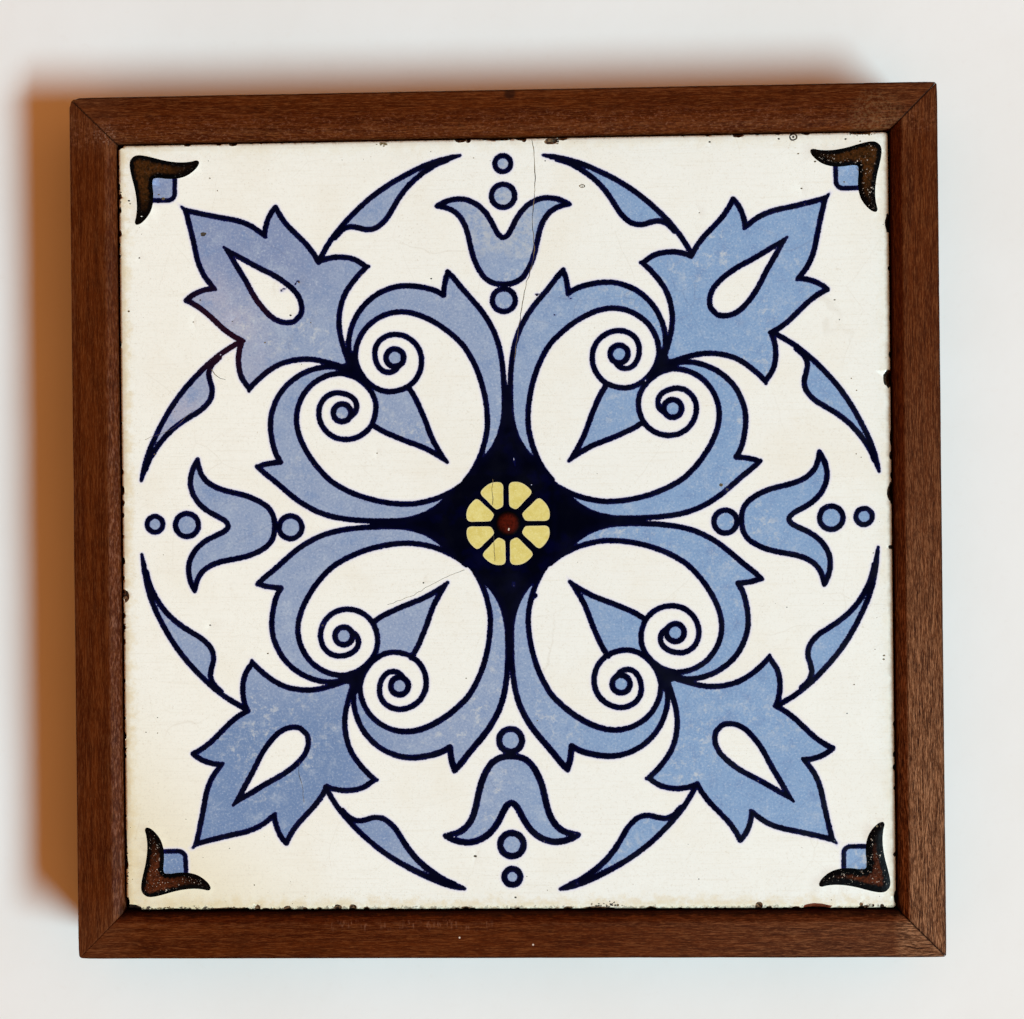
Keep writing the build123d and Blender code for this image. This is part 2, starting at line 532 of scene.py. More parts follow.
def rim_distance(points):
    """How far each point is inside the tile's rounded-square edge."""
    straight = TILE_HALF - TILE_CORNER_RADIUS
    beyond = np.maximum(np.abs(points) - straight, 0)
    corner = TILE_CORNER_RADIUS - np.linalg.norm(beyond, axis=1)
    flat = TILE_HALF - np.abs(points).max(1)
    return np.where((beyond > 0).all(1), corner, flat)


# Damage, from the photograph

CHIP_FLOOR = 0.94  # how much of a chip's outline its hollow fills
PIT_DEPTH = 0.05
SPECK_COUNT = 90  # fine specks, scattered over the tile and most of all near its edges

# Chips: where, how far they reach to the side and up, and how deep
CHIPS = [
    (-74.6, 101.3, 0.7, 0.4, 0.4), (-8.4, 101.0, 0.7, 0.6, 0.4), (-0.6, 101.3, 4.2, 0.45, 0.5),
    (6.3, 100.9, 0.6, 0.6, 0.4), (13.4, 100.5, 1.7, 0.9, 0.45), (16.2, 101.1, 1.4, 0.5, 0.4),
    (67.5, 101.4, 0.7, 0.3, 0.3), (94.0, 101.2, 3.0, 0.5, 0.3), (-101.8, 101.6, 1.9, 1.5, 1.5),
    (-100.0, -101.0, 2.6, 1.2, 1.2), (-101.4, -99.4, 0.9, 1.6, 1.2), (-88.0, -101.4, 5.0, 0.4, 0.4),
    (-74.2, -101.3, 5.0, 0.5, 0.5), (-66.4, -100.9, 0.8, 0.9, 0.5), (-64.3, -101.3, 1.0, 0.4, 0.4),
    (-58.4, -101.0, 1.0, 0.7, 0.5), (-53.8, -101.2, 0.7, 0.5, 0.4), (-50.0, -101.2, 0.7, 0.5, 0.4),
    (-45.1, -100.9, 1.1, 0.9, 0.5), (-41.1, -100.9, 1.0, 0.9, 0.5), (-37.5, -101.2, 0.8, 0.6, 0.4),
    (-31.0, -101.3, 1.0, 0.4, 0.4), (-11.3, -101.1, 1.4, 0.5, 0.4), (15.6, -101.2, 1.2, 0.5, 0.4),
    (23.0, -101.2, 3.2, 0.5, 0.4), (65.6, -100.7, 1.0, 1.1, 0.5), (80.5, -101.1, 3.6, 1.1, 0.8),
    (92.2, -100.4, 0.5, 0.55, 0.3), (93.4, -100.9, 0.8, 0.35, 0.3), (95.3, -100.7, 0.3, 0.45, 0.3),
    (97.6, -100.8, 0.55, 0.5, 0.3),
    (-101.2, 87.9, 0.7, 0.9, 0.6), (-101.2, 84.2, 0.6, 0.9, 0.5), (-101.3, 78.1, 0.7, 0.9, 0.5),
    (-101.4, 72.0, 0.5, 0.5, 0.5), (-101.5, 48.7, 0.5, 1.0, 0.4), (-101.2, 6.6, 0.6, 0.8, 0.5),
    (-101.2, 3.3, 0.5, 0.7, 0.5), (-101.3, -13.3, 0.5, 0.7, 0.4), (-100.6, -18.0, 0.9, 1.6, 0.4),
    (-101.3, -23.3, 0.6, 0.8, 0.5), (-101.3, -26.3, 0.6, 0.8, 0.5), (-101.3, -30.2, 0.5, 0.8, 0.4),
    (-101.4, -40.6, 0.5, 0.6, 0.4), (-101.4, -55.1, 0.5, 0.9, 0.4), (-101.4, -60.4, 0.5, 0.8, 0.4),
    (-101.5, -84.0, 0.5, 4.5, 0.6), (101.2, 77.4, 0.9, 2.4, 1.0), (101.4, 65.7, 0.6, 0.6, 0.5),
    (101.5, 52.9, 0.4, 0.9, 0.4), (100.9, 37.0, 1.5, 2.4, 1.1), (101.4, 21.6, 0.5, 2.0, 0.4),
    (101.3, 7.2, 1.1, 2.7, 1.0), (101.0, -7.1, 0.8, 0.6, 0.4), (101.3, -61.3, 0.5, 0.8, 0.5),
    (101.3, -64.7, 0.6, 0.9, 0.5), (101.2, -87.4, 0.6, 0.6, 0.4), (101.2, -98.4, 0.6, 1.6, 0.4),
]
EDGE_NICKS = {"left": 30, "top": 22, "bottom": 34, "right": 10}  # smaller chips, scattered

# Stained pits in the glaze: where, and radius
PITS = [
    (-78.9, 77.5, 1.4), (-98.6, 86.7, 0.6), (-98.3, 85.9, 0.4), (-90.6, 88.2, 0.5), (-89.4, 87.1, 0.9),
    (-18.6, 64.8, 0.5), (-53.6, 64.4, 0.6), (-55.9, 55.7, 0.6),
    (-79.9, 60.1, 0.5), (-81.8, 54.3, 0.4), (-71.4, 54.3, 0.35), (-50.6, 53.7, 0.35), (9.2, 60.0, 0.6),
    (10.0, 60.3, 0.5), (56.9, 9.6, 1.0), (58.5, 8.4, 0.8), (-8.6, -87.4, 0.8), (-21.5, -15.3, 0.5),
    (-62.9, -33.6, 0.5), (-48.3, -26.3, 0.6), (-78.2, -26.0, 0.5), (-96.0, 71.5, 0.5),
    (-99.0, 57.4, 0.6), (52.0, 81.0, 0.35), (82.3, 93.9, 0.6), (78.7, 86.9, 0.5), (-33.4, 19.0, 0.4),
    (96.5, -80.0, 0.6), (-37.0, 66.0, 0.4), (-62.8, 48.6, 0.5), (54.9, 99.5, 0.6), (72.9, 100.0, 0.6),
    (90.3, 99.6, 0.6), (1.9, -98.3, 0.6), (98.8, -35.4, 0.6), (98.7, -36.4, 0.6), (96.3, -8.6, 0.4),
]

# Pits with a ring round them: where, half width and half height
RING_PITS = [(76.7, 100.4, 1.1, 1.0), (21.4, 88.5, 0.85, 0.5)]

# Small flecks of glaze in the wrong place, ivory or navy: where, half width and half height
PALE_FLECKS = [
    (2.7, 16.8, 0.12, 0.5), (2.3, -15.9, 0.12, 0.45), (7.2, 10.2, 0.22, 0.2), (-74.6, 45.5, 0.25, 0.2),
    (-16.2, -81.3, 0.25, 0.15), (-14.1, -82.3, 0.2, 0.15), (37.5, 37.2, 0.25, 0.2), (-95.3, 82.5, 0.25, 0.1),
]
NAVY_FLECKS = [
    (9.3, 60.3, 0.55, 0.15), (13.8, 54.8, 0.2, 0.15), (18.1, 59.0, 0.3, 0.12), (-53.8, 64.7, 0.35, 0.2),
    (-54.5, 63.9, 0.2, 0.25), (-57.5, 62.7, 0.4, 0.15), (-58.3, 62.2, 0.2, 0.2), (-2.6, 78.6, 0.2, 0.35),
    (7.9, -19.0, 0.65, 0.7),
]

# Crumbs of dirt at the edge: the middle of a patch, its reach to the side and up, and their number
SMUDGES = [
    (-31.1, 100.7, 1.8, 0.5, 26), (26.5, -100.3, 3.8, 0.8, 34), (95.0, -100.8, 3.4, 0.5, 9),
    (-90.0, -100.9, 6.0, 0.4, 26), (-101.0, -90.0, 0.4, 6.0, 18), (14.4, 100.4, 2.0, 0.9, 24),
    (94.0, 100.8, 3.5, 0.4, 22), (-101.0, 86.0, 0.4, 4.0, 12),
]

# Hairline cracks: their points and half width
CRACKS = [
    (
        [
            (8.4, 101.0), (8.9, 96.0), (9.0, 88.0), (8.3, 80.5), (8.4, 70.0), (6.2, 62.0), (4.4, 52.0),
            (3.0, 43.0),
        ],
        0.11,
    ),
    ([(-3.0, 11.6), (-3.1, 8.0), (-2.9, 5.2)], 0.09),
    ([(-2.7, -3.2), (-2.8, -6.0), (-2.6, -9.5)], 0.09),
    ([(-54.9, -62.5), (-55.0, -65.5), (-54.0, -69.5), (-53.8, -73.0)], 0.08),
    ([(-77.0, 41.5), (-75.4, 39.6), (-73.4, 38.9)], 0.1),
    ([(-10.7, -12.0), (-17.1, -14.6), (-24.0, -18.4), (-31.0, -21.0)], 0.05),
    ([(-82.0, 31.0), (-88.0, 26.0), (-95.0, 23.5)], 0.05),
]


def blot(x, y, a, b, seed):
    """An irregular closed outline about a point, kept on the tile."""
    angles = np.linspace(0, 2 * math.pi, max(9, round(4 * max(a, b)) + 8), endpoint=False)
    reach = [1 + 0.32 * ripple(2 * math.cos(t), 2 * math.sin(t), x + y + seed) for t in angles]
    points = np.column_stack([x + a * np.cos(angles) * reach, y + b * np.sin(angles) * reach])
    limit = TILE_HALF - 0.03
    return np.clip(points, -limit, limit)


def edge_nicks():
    """Small chips scattered along the four edges, the same each time."""
    chooser = random.Random(7)
    nicks = []
    for side, count in EDGE_NICKS.items():
        for _ in range(count):
            along = chooser.uniform(-100, 100)
            size = 0.25 + 0.45 * chooser.random() ** 2
            inset = TILE_HALF + 0.05 - 0.35 * chooser.random()
            a, b, depth = size * chooser.uniform(1, 2.4), size, 0.3 + 0.3 * chooser.random()
            across = inset if side in ("right", "top") else -inset
            upright = side in ("left", "right")
            nicks.append((across, along, b, a, depth) if upright else (along, across, a, b, depth))
    return nicks


def lay_out_damage(face):
    """Chips along the edges, stained pits, scattered specks and hairline cracks."""
    for x, y, a, b, _ in CHIPS + edge_nicks():
        face.paint(blot(x, y, a, b, 1), BISCUIT)
        count = max(6, round(a * b * 14))
        spots = [(x + a * RANDOM.uniform(-1, 1), y + b * RANDOM.uniform(-1, 1)) for _ in range(count)]
        face.refine(np.clip(spots, 0.1 - TILE_HALF, TILE_HALF - 0.1))
    for x, y, radius in PITS:
        face.paint(blot(x, y, radius * 0.55, radius * 0.4, 2), STAIN)
    for x, y, across, high in RING_PITS:
        for share, glaze in ((1.0, STAIN), (0.6, IVORY), (0.3, STAIN)):
            face.paint(blot(x, y, across * share, high * share, 4), glaze)
    for flecks, glaze in ((PALE_FLECKS, IVORY), (NAVY_FLECKS, NAVY)):
        for x, y, across, high in flecks:
            face.paint(blot(x, y, across, high, 6), glaze)
    for x, y, a, b, count in SMUDGES:
        for _ in range(count):
            size = RANDOM.uniform(0.08, 0.22)
            place = (x + a * RANDOM.gauss(0, 0.5), y + b * RANDOM.gauss(0, 0.5))
            face.paint(blot(*place, size * RANDOM.uniform(0.8, 1.8), size, 5), STAIN)
    for _ in range(SPECK_COUNT):
        x, y = RANDOM.uniform(-99, 99), RANDOM.uniform(-99, 99)
        if RANDOM.random() < 0.5:
            side = RANDOM.choice((-1, 1))
            near_edge = side * (TILE_HALF - abs(RANDOM.gauss(0, 7)) - 1.2)
            x, y = (near_edge, y) if RANDOM.random() < 0.5 else (x, near_edge)
        radius = 0.07 + 0.12 * RANDOM.random() ** 2
        face.paint(blot(x, y, radius * RANDOM.uniform(0.8, 1.6), radius, 3), STAIN)
    for points, half_width in CRACKS:
        path = spline([(x, y, half_width) for x, y in points], step=0.7)
        path[:, 0] += [0.28 * ripple(y * 0.5, x, 5) for x, y, _ in path]
        path[:, 1] += [0.28 * ripple(x * 0.5, y, 6) for x, y, _ in path]
        path[:, 2] *= [0.8 + 0.6 * ripple(x * 0.4, y * 0.4, 7) for x, y, _ in path]
        face.paint(outline_of(path), STAIN)


def merge_points(face):
    """All points and constraint edges for the triangulation, without crowding."""
    rims = [tile_edge(inset) for inset in (0.0, 0.12, 0.34, TILE_ARRIS_RADIUS, 1.9)]
    points, edges = [], []
    for loop in [*rims, *(outline for outline, _ in face.outlines)]:
        edges += ring_edges(len(points), len(loop))
        points += [tuple(p) for p in loop]
    cell_size, spacing = 0.2, 3.0
    taken = {(round(x / cell_size), round(y / cell_size)) for x, y in points}
    count = int(TILE_HALF // spacing)
    grid = [
        (spacing * (i + RANDOM.uniform(-0.3, 0.3)), spacing * (j + RANDOM.uniform(-0.3, 0.3)))
        for i in range(-count, count + 1)
        for j in range(-count, count + 1)
    ]
    loose = np.vstack([*face.loose, np.array(grid)])
    loose = loose[np.abs(loose).max(1) < TILE_HALF - 0.08]
    for x, y in loose:
        cell = (round(x / cell_size), round(y / cell_size))
        if cell not in taken:
            taken.add(cell)
            points.append((float(x), float(y)))
    return points, edges


def distance_to(targets, points):
    """How far each point is from the nearest of the targets."""
    tree = KDTree(len(targets))
    for i, (x, y) in enumerate(targets):
        tree.insert((x, y, 0), i)
    tree.balance()
    return np.array([tree.find((x, y, 0))[2] for x, y in points])


def border_points(points, triangles, member):
    """Points on the border between triangles that are members and those that are not."""
    on_member = np.zeros(len(points), bool)
    on_other = np.zeros(len(points), bool)
    on_member[triangles[member].ravel()] = True
    on_other[triangles[~member].ravel()] = True
    both = on_member & on_other
    pairs = triangles[member][:, [0, 1, 1, 2, 2, 0]].reshape(-1, 2)
    pairs = pairs[both[pairs].all(1)]
    middles = (points[pairs[:, 0]] + points[pairs[:, 1]]) / 2
    return np.vstack([points[both], middles]), on_member


def face_height(points, rim, brown_depth, ink_depth):
    """Height of the glazed face: rounded arrises, raised brown enamel, thick lines, chips and pits."""
    radius = TILE_ARRIS_RADIUS
    into = np.clip(radius - rim, 0, radius)
    z = TILE_TOP - (radius - np.sqrt(radius**2 - into**2))
    lumps = np.array([ripple(x * 1.5, y * 1.5, 2) for x, y in points])
    swell = np.sin(np.clip(brown_depth / ENAMEL_SHOULDER, 0, 1) * math.pi / 2)
    z += ENAMEL_HEIGHT * swell * (1 + 0.25 * lumps)
    z += LINE_HEIGHT * np.clip(ink_depth / 0.5, 0, 1)
    for x, y, a, b, depth in CHIPS + edge_nicks():
        reach = ((points[:, 0] - x) / (a * CHIP_FLOOR)) ** 2 + ((points[:, 1] - y) / (b * CHIP_FLOOR)) ** 2
        z -= depth * np.sqrt(np.clip(1 - reach, 0, 1)) * (1 + 0.35 * lumps)
    for x, y, r in PITS:
        reach = ((points[:, 0] - x) ** 2 + (points[:, 1] - y) ** 2) / (0.5 * r) ** 2
        z -= PIT_DEPTH * np.clip(1 - reach, 0, 1)
    return z


def new_mesh(name, points, faces, materials, indices=None, smooth_angle=None):
    """A smooth-shaded mesh object from millimetre points, sharp at edges over the angle in degrees."""
    mesh = bpy.data.meshes.new(name)
    mesh.from_pydata([tuple(c * MM for c in p) for p in points], [], faces)
    for material in materials:
        mesh.materials.append(material)
    if indices is not None:
        mesh.polygons.foreach_set("material_index", np.asarray(indices, np.int32))
    mesh.polygons.foreach_set("use_smooth", np.ones(len(mesh.polygons), bool))
    mesh.update()
    if smooth_angle is not None:
        mesh.set_sharp_from_angle(angle=math.radians(smooth_angle))
    obj = bpy.data.objects.new(name, mesh)
    bpy.context.scene.collection.objects.link(obj)
    return obj


def point_attribute(obj, name, values):
    """A number at each point of a mesh, for its materials to read."""
    attribute = obj.data.attributes.new(name, "FLOAT", "POINT")
    attribute.data.foreach_set("value", np.asarray(values, np.float32))


def refine_enamel(face):
    """A close grid of points over the raised enamel, to carry its lumps."""
    spacing = 0.45
    for outline in [outline for outline, glaze in face.outlines if glaze == BROWN]:
        (left, bottom), (right, top) = outline.min(0), outline.max(0)
        xs, ys = np.meshgrid(np.arange(left, right, spacing), np.arange(bottom, top, spacing))
        cloud = np.column_stack([xs.ravel(), ys.ravel()])
        face.refine(cloud[inside(outline, cloud)])


def triangulate(face):
    """The painted face in plan: its points, its triangles and each triangle's colour area."""
    points, edges = merge_points(face)
    found = delaunay_2d_cdt([Vector(p) for p in points], edges, [], 0, 1e-4, False)
    flat = np.array([tuple(v) for v in found[0]])
    triangles = np.array([t for t in found[2] if len(t) == 3])
    area = doubled_areas(flat, triangles)
    triangles = np.where((area < 0)[:, None], triangles[:, ::-1], triangles)[np.abs(area) > 1e-9]
    centres = flat[triangles].mean(1)
    region = np.zeros(len(triangles), int)
    for outline, glaze in face.outlines:
        region[inside(outline, centres)] = glaze
    return flat, triangles, region


def make_tile(materials):
    """The whole tile: painted face, arrises, sides and keyed back, as one closed mesh."""
    face = Face()
    lay_out_ornament(face)
    lay_out_damage(face)
    refine_enamel(face)
    flat, triangles, region = triangulate(face)

    ink_border, on_ink = border_points(flat, triangles, region == NAVY)
    ink = distance_to(ink_border, flat)
    brown_border, on_brown = border_points(flat, triangles, region == BROWN)
    brown = np.where(on_brown, distance_to(brown_border, flat), 0)
    rim = rim_distance(flat)
    signed = np.where(on_ink, ink, -ink)
    z = face_height(flat, rim, brown, np.where(on_ink, ink, 0))

    loop = np.nonzero(rim < 1e-3)[0]
    loop = loop[np.argsort(np.arctan2(flat[loop, 1], flat[loop, 0]))]
    solid = [(x, y, h) for (x, y), h in zip(flat, z)]
    faces = triangles.tolist()
    indices = region.tolist()
    back_loop = add_sides(solid, faces, indices, loop.tolist())
    add_keyed_back(solid, faces, indices, back_loop)
    tile = new_mesh("glazed_tile", solid, faces, materials, indices, TILE_SHARP_ANGLE)
    extra = len(solid) - len(flat)
    point_attribute(tile, "ink", np.concatenate([signed, np.full(extra, FAR_FROM_LINES)]))
    point_attribute(tile, "enamel", np.concatenate([brown, np.zeros(extra)]))
    point_attribute(tile, "rim", np.concatenate([rim, np.zeros(extra)]))
    return tile


def add_sides(solid, faces, indices, loop):
    """Three rings of clay, from the edge of the face down to the chamfered back; gives the last ring."""
    upper = loop
    chamfered = 1 - TILE_BACK_CHAMFER / TILE_HALF
    rings = ((1, TILE_TOP - 3.2), (1, TILE_BOTTOM + TILE_BACK_CHAMFER), (chamfered, TILE_BOTTOM))
    for scale, height in rings:
        lower = list(range(len(solid), len(solid) + len(loop)))
        solid += [(solid[i][0] * scale, solid[i][1] * scale, height) for i in loop]
        for i, j in ring_edges(0, len(loop)):
            faces.append((upper[j], upper[i], lower[i], lower[j]))
            indices.append(BISCUIT)
        upper = lower
    return upper


def add_keyed_back(solid, faces, indices, loop):
    """The pressed back: parallel round-ended grooves sunk into a flat clay face."""
    pitch, width, depth, margin = KEY_GROOVES
    reach = TILE_HALF - margin
    count = int((2 * reach - width) // pitch) + 1
    slots = []
    for k in range(count):
        x = (k - (count - 1) / 2) * pitch
        turn = np.radians(np.linspace(0, 180, 9))
        cap = np.column_stack([np.cos(turn), np.sin(turn)]) * width / 2
        middle = reach - width / 2
        slots.append(np.vstack([cap + (x, middle), -cap + (x, -middle)]))
    points = [Vector(solid[i][:2]) for i in loop]
    edges = ring_edges(0, len(loop))
    for slot in slots:
        edges += ring_edges(len(points), len(slot))
        points += [Vector(p) for p in slot]
    found = delaunay_2d_cdt(points, edges, [], 0, 1e-4, True)
    flat = np.array([tuple(v) for v in found[0]])
    triangles = np.array([t for t in found[2] if len(t) == 3])
    source = [ids[0] if ids else -1 for ids in found[3]]
    sunk = np.zeros(len(triangles), bool)
    for slot in slots:
        sunk |= inside(slot, flat[triangles].mean(1))
    level, deep = {}, {}
    for i, (x, y) in enumerate(flat):
        if 0 <= source[i] < len(loop):
            level[i] = loop[source[i]]
        else:
            level[i] = len(solid)
            solid.append((x, y, TILE_BOTTOM))
            deep[i] = len(solid)
            solid.append((x, y, TILE_BOTTOM + depth))
    for triangle, is_sunk, clockwise in zip(triangles, sunk, doubled_areas(flat, triangles) < 0):
        ring = deep if is_sunk else level
        order = triangle if clockwise else triangle[::-1]
        faces.append(tuple(ring[i] for i in order))
        indices.append(BISCUIT)
    place = {source[i]: i for i in range(len(flat))}
    first = len(loop)
    for slot in slots:
        ring = [place[first + i] for i in range(len(slot))]
        for i, j in zip(ring, ring[1:] + ring[:1]):
            faces.append((level[i], level[j], deep[j], deep[i]))
            indices.append(BISCUIT)
        first += len(slot)


# Wooden rails

RAIL_NAMES = ("top", "left", "bottom", "right")

# At the start and the end of each rail: how far the mitre gapes, and how dark it is
OPEN_MITRES = {"top": (0.03, 0.03), "left": (0.01, 0.03), "bottom": (0.04, 0.01), "right": (0.04, 0.04)}
DARK_MITRES = {"top": (0.6, 1.0), "left": (0.2, 1.0), "bottom": (1.0, 0.35), "right": (0.9, 1.0)}

# Wear: how far it reaches from an arris, how deep nicks and low waves go, how far the mitres are eased
WEAR_REACH = 1.4
NICK_DEPTH = 0.09
WAVE_DEPTH = 0.05
EASED_BY = 0.12
EASED_REACH = 0.38
JOINT_REACH = 0.45  # how far the dark of an open joint spreads along the rail

# Each outer corner's radius in plan, by the signs of its place
WORN_CORNERS = {(-1, 1): 3.0, (1, 1): 1.5, (1, -1): 1.3, (-1, -1): 1.8}


def rail_section(worn):
    """The rail's closed profile as (distance from the tile's centre, height); worn rounds the arrises."""
    points = []

    def run(start, end, count):
        for k in range(count):
            t = k / count
            points.append((start[0] + (end[0] - start[0]) * t, start[1] + (end[1] - start[1]) * t))

    def rounded(radius, start_angle, end_angle, centre):
        for angle in np.radians(np.linspace(start_angle, end_angle, 5)):
            points.append((centre[0] + radius * math.cos(angle), centre[1] + radius * math.sin(angle)))

    outer, inner, toe = 0.3 + 0.4 * worn, 0.7 + 0.5 * worn, 0.15
    top, face_edge = FRAME_DEPTH, OPENING_HALF + BEVEL_WIDTH
    slope = math.degrees(math.atan2(BEVEL_HEIGHT, BEVEL_WIDTH))
    toe_top = (OPENING_HALF + toe * 0.4, top - BEVEL_HEIGHT + toe * 0.36)
    toe_bottom = (OPENING_HALF, top - BEVEL_HEIGHT - toe)
    run((REBATE_HALF, 0), (FRAME_HALF - BACK_CHAMFER, 0), 3)
    run((FRAME_HALF - BACK_CHAMFER, 0), (FRAME_HALF, BACK_CHAMFER), 1)
    run((FRAME_HALF, BACK_CHAMFER), (FRAME_HALF, top - outer), 6)
    rounded(outer, 0, 90, (FRAME_HALF - outer, top - outer))
    reach = inner * math.tan(math.radians(slope / 2))
    run((FRAME_HALF - outer, top), (face_edge + reach, top), 7)
    rounded(inner, 90, 90 + slope, (face_edge + reach, top - inner))
    run(points[-1], toe_top, 3)
    run(toe_top, toe_bottom, 1)
    run(toe_bottom, (OPENING_HALF, BOARD_TOP), 3)
    run((OPENING_HALF, BOARD_TOP), (REBATE_HALF, BOARD_TOP), 3)
    run((REBATE_HALF, BOARD_TOP), (REBATE_HALF, 0), 2)
    return np.array(points)


def stations():
    """Places along a rail as shares of its half length, closer together at the mitres."""
    middle = np.linspace(-1, 1, 150)[1:-1] * (1 - 1.0 / FRAME_HALF)
    to_mitre = np.array([0.7, 0.38, 0.2, 0.09, 0.0])
    ends = 1 - to_mitre / FRAME_HALF
    return np.concatenate([-ends[::-1], middle, ends])


def make_rail(side, turns, material):
    """One rail swept along its length, its ends cut on the mitre with slightly rounded edges."""
    places = stations()
    points, grain, wear, joint = [], [], [], []
    shift = 37.0 * turns + 11
    for share in places:
        along = share * FRAME_HALF
        to_mitre = FRAME_HALF * (1 - abs(share))
        end = int(share > 0)
        worn = 0.5 + 0.5 * ripple(along / 21, shift, 0)
        worn = min(1.4, worn + 0.5 * max(0, 1 - to_mitre / 6))
        eased = EASED_BY * max(0.0, 1 - to_mitre / EASED_REACH) ** 2
        section = rail_section(worn)
        for u, z in section:
            near_arris = max(0, 1 - min(abs(u - arris) for arris in ARRISES) / WEAR_REACH)
            out, up = worn_point(u, z, along, shift, near_arris, eased)
            x = share * (out - OPEN_MITRES[side][end])
            points.append(rounded_in_plan(x, out, turns) + (up,))
            grain.append((along + shift * 3, u + shift, z))
            wear.append(min(1.0, near_arris * (z > FRAME_DEPTH - 2.2) * (0.5 + 0.5 * worn)))
            joint.append(max(0.0, 1 - to_mitre / JOINT_REACH) * DARK_MITRES[side][end])
    faces = swept_faces(len(places), len(section))
    rail = new_mesh(f"rail_{side}", points, faces, [material], None, RAIL_SHARP_ANGLE)
    fix_normals(rail)
    attribute = rail.data.attributes.new("grain", "FLOAT_VECTOR", "POINT")
    attribute.data.foreach_set("vector", np.array(grain, np.float32).ravel())
    point_attribute(rail, "wear", wear)
    point_attribute(rail, "joint", joint)
    return rail


def worn_point(u, z, along, shift, near_arris, eased):
    """A point of the profile drawn in by wear: the mitre's eased edge, nicks and the face's low waves."""
    if z <= BOARD_TOP + 1:
        return u, z
    inward = Vector(((OPENING_HALF + FRAME_HALF) / 2 - u, FRAME_DEPTH / 2 - z)).normalized()
    dent = ripple(along / 1.7, u / 1.7, shift - z / 1.7)
    nick = NICK_DEPTH * max(0, dent - 0.15) * near_arris * (z > FRAME_DEPTH - 2)
    wave = WAVE_DEPTH * ripple(along / 14, u / 5, shift + z / 9)
    sunk = min(0.0, wave) if z > FRAME_DEPTH - 0.01 else 0
    return u + inward.x * (eased + nick), z + inward.y * (eased + nick) + sunk


def swept_faces(count, corners):
    """The faces of a closed profile repeated along a path, with a cap at each end."""
    around = ring_edges(0, corners)
    starts = [corners * i for i in range(count)]
    sides = [(a + i, a + j, b + j, b + i) for a, b in zip(starts, starts[1:]) for i, j in around]
    first_cap = tuple(range(corners - 1, -1, -1))
    last_cap = tuple(starts[-1] + k for k in range(corners))
    return [*sides, first_cap, last_cap]


def rounded_in_plan(x, y, turns):
    """Turns a top-rail point to its side and rounds off the frame's outer corners."""
    for _ in range(turns):
        x, y = -y, x
    sx, sy = (1 if x > 0 else -1), (1 if y > 0 else -1)
    radius = WORN_CORNERS[sx, sy]
    start = FRAME_HALF - radius
    dx, dy = abs(x) - start, abs(y) - start
    if dx > 0 and dy > 0:
        reach = math.hypot(dx, dy)
        if reach > radius:
            dx, dy = dx * radius / reach, dy * radius / reach
            x, y = sx * (start + dx), sy * (start + dy)
    return x, y


def fix_normals(obj):
    """Turns all the faces of a closed mesh outwards."""
    bm = bmesh.new()
    bm.from_mesh(obj.data)
    bmesh.ops.recalc_face_normals(bm, faces=bm.faces)
    bm.to_mesh(obj.data)
    bm.free()


# Materials

def colour(red, green, blue):
    """An sRGB colour out of 255 as the linear colour that a shader takes."""
    shares = (red / 255, green / 255, blue / 255)
    return (*((c / 12.92 if c <= 0.04045 else ((c + 0.055) / 1.055) ** 2.4) for c in shares), 1.0)


# Colour of painted glints: highlights put into the colour of the enamel and the bead
PAINTED_GLINT = (226, 214, 196)


class Nodes:
    """Adds nodes to a tree. An input takes a value or the output of another node."""

    def __init__(self, tree):
        self.tree = tree

    def put(self, socket, value):
        if isinstance(value, bpy.types.NodeSocket):
            self.tree.links.new(value, socket)
        else:
            socket.default_value = value

    def add(self, kind, inputs=(), **settings):
        """A new node, with its settings, and its inputs by name or by number."""
        node = self.tree.nodes.new(kind)
        for key, value in settings.items():
            setattr(node, key, value)
        for key, value in dict(inputs).items():
            self.put(node.inputs[key], value)
        return node

    def math(self, operation, *values):
        """One sum over two values or more, taken from the left."""
        result = values[0]
        for value in values[1:]:
            result = self.add("ShaderNodeMath", {0: result, 1: value}, operation=operation).outputs[0]
        return result

    def times(self, *values):
        return self.math("MULTIPLY", *values)

    def plus(self, *values):
        return self.math("ADD", *values)

    def minus(self, a, b):
        return self.math("SUBTRACT", a, b)

    def most(self, *values):
        return self.math("MAXIMUM", *values)

    def least(self, *values):
        return self.math("MINIMUM", *values)

    def size_of(self, value):
        return self.math("ABSOLUTE", value, 0.0)


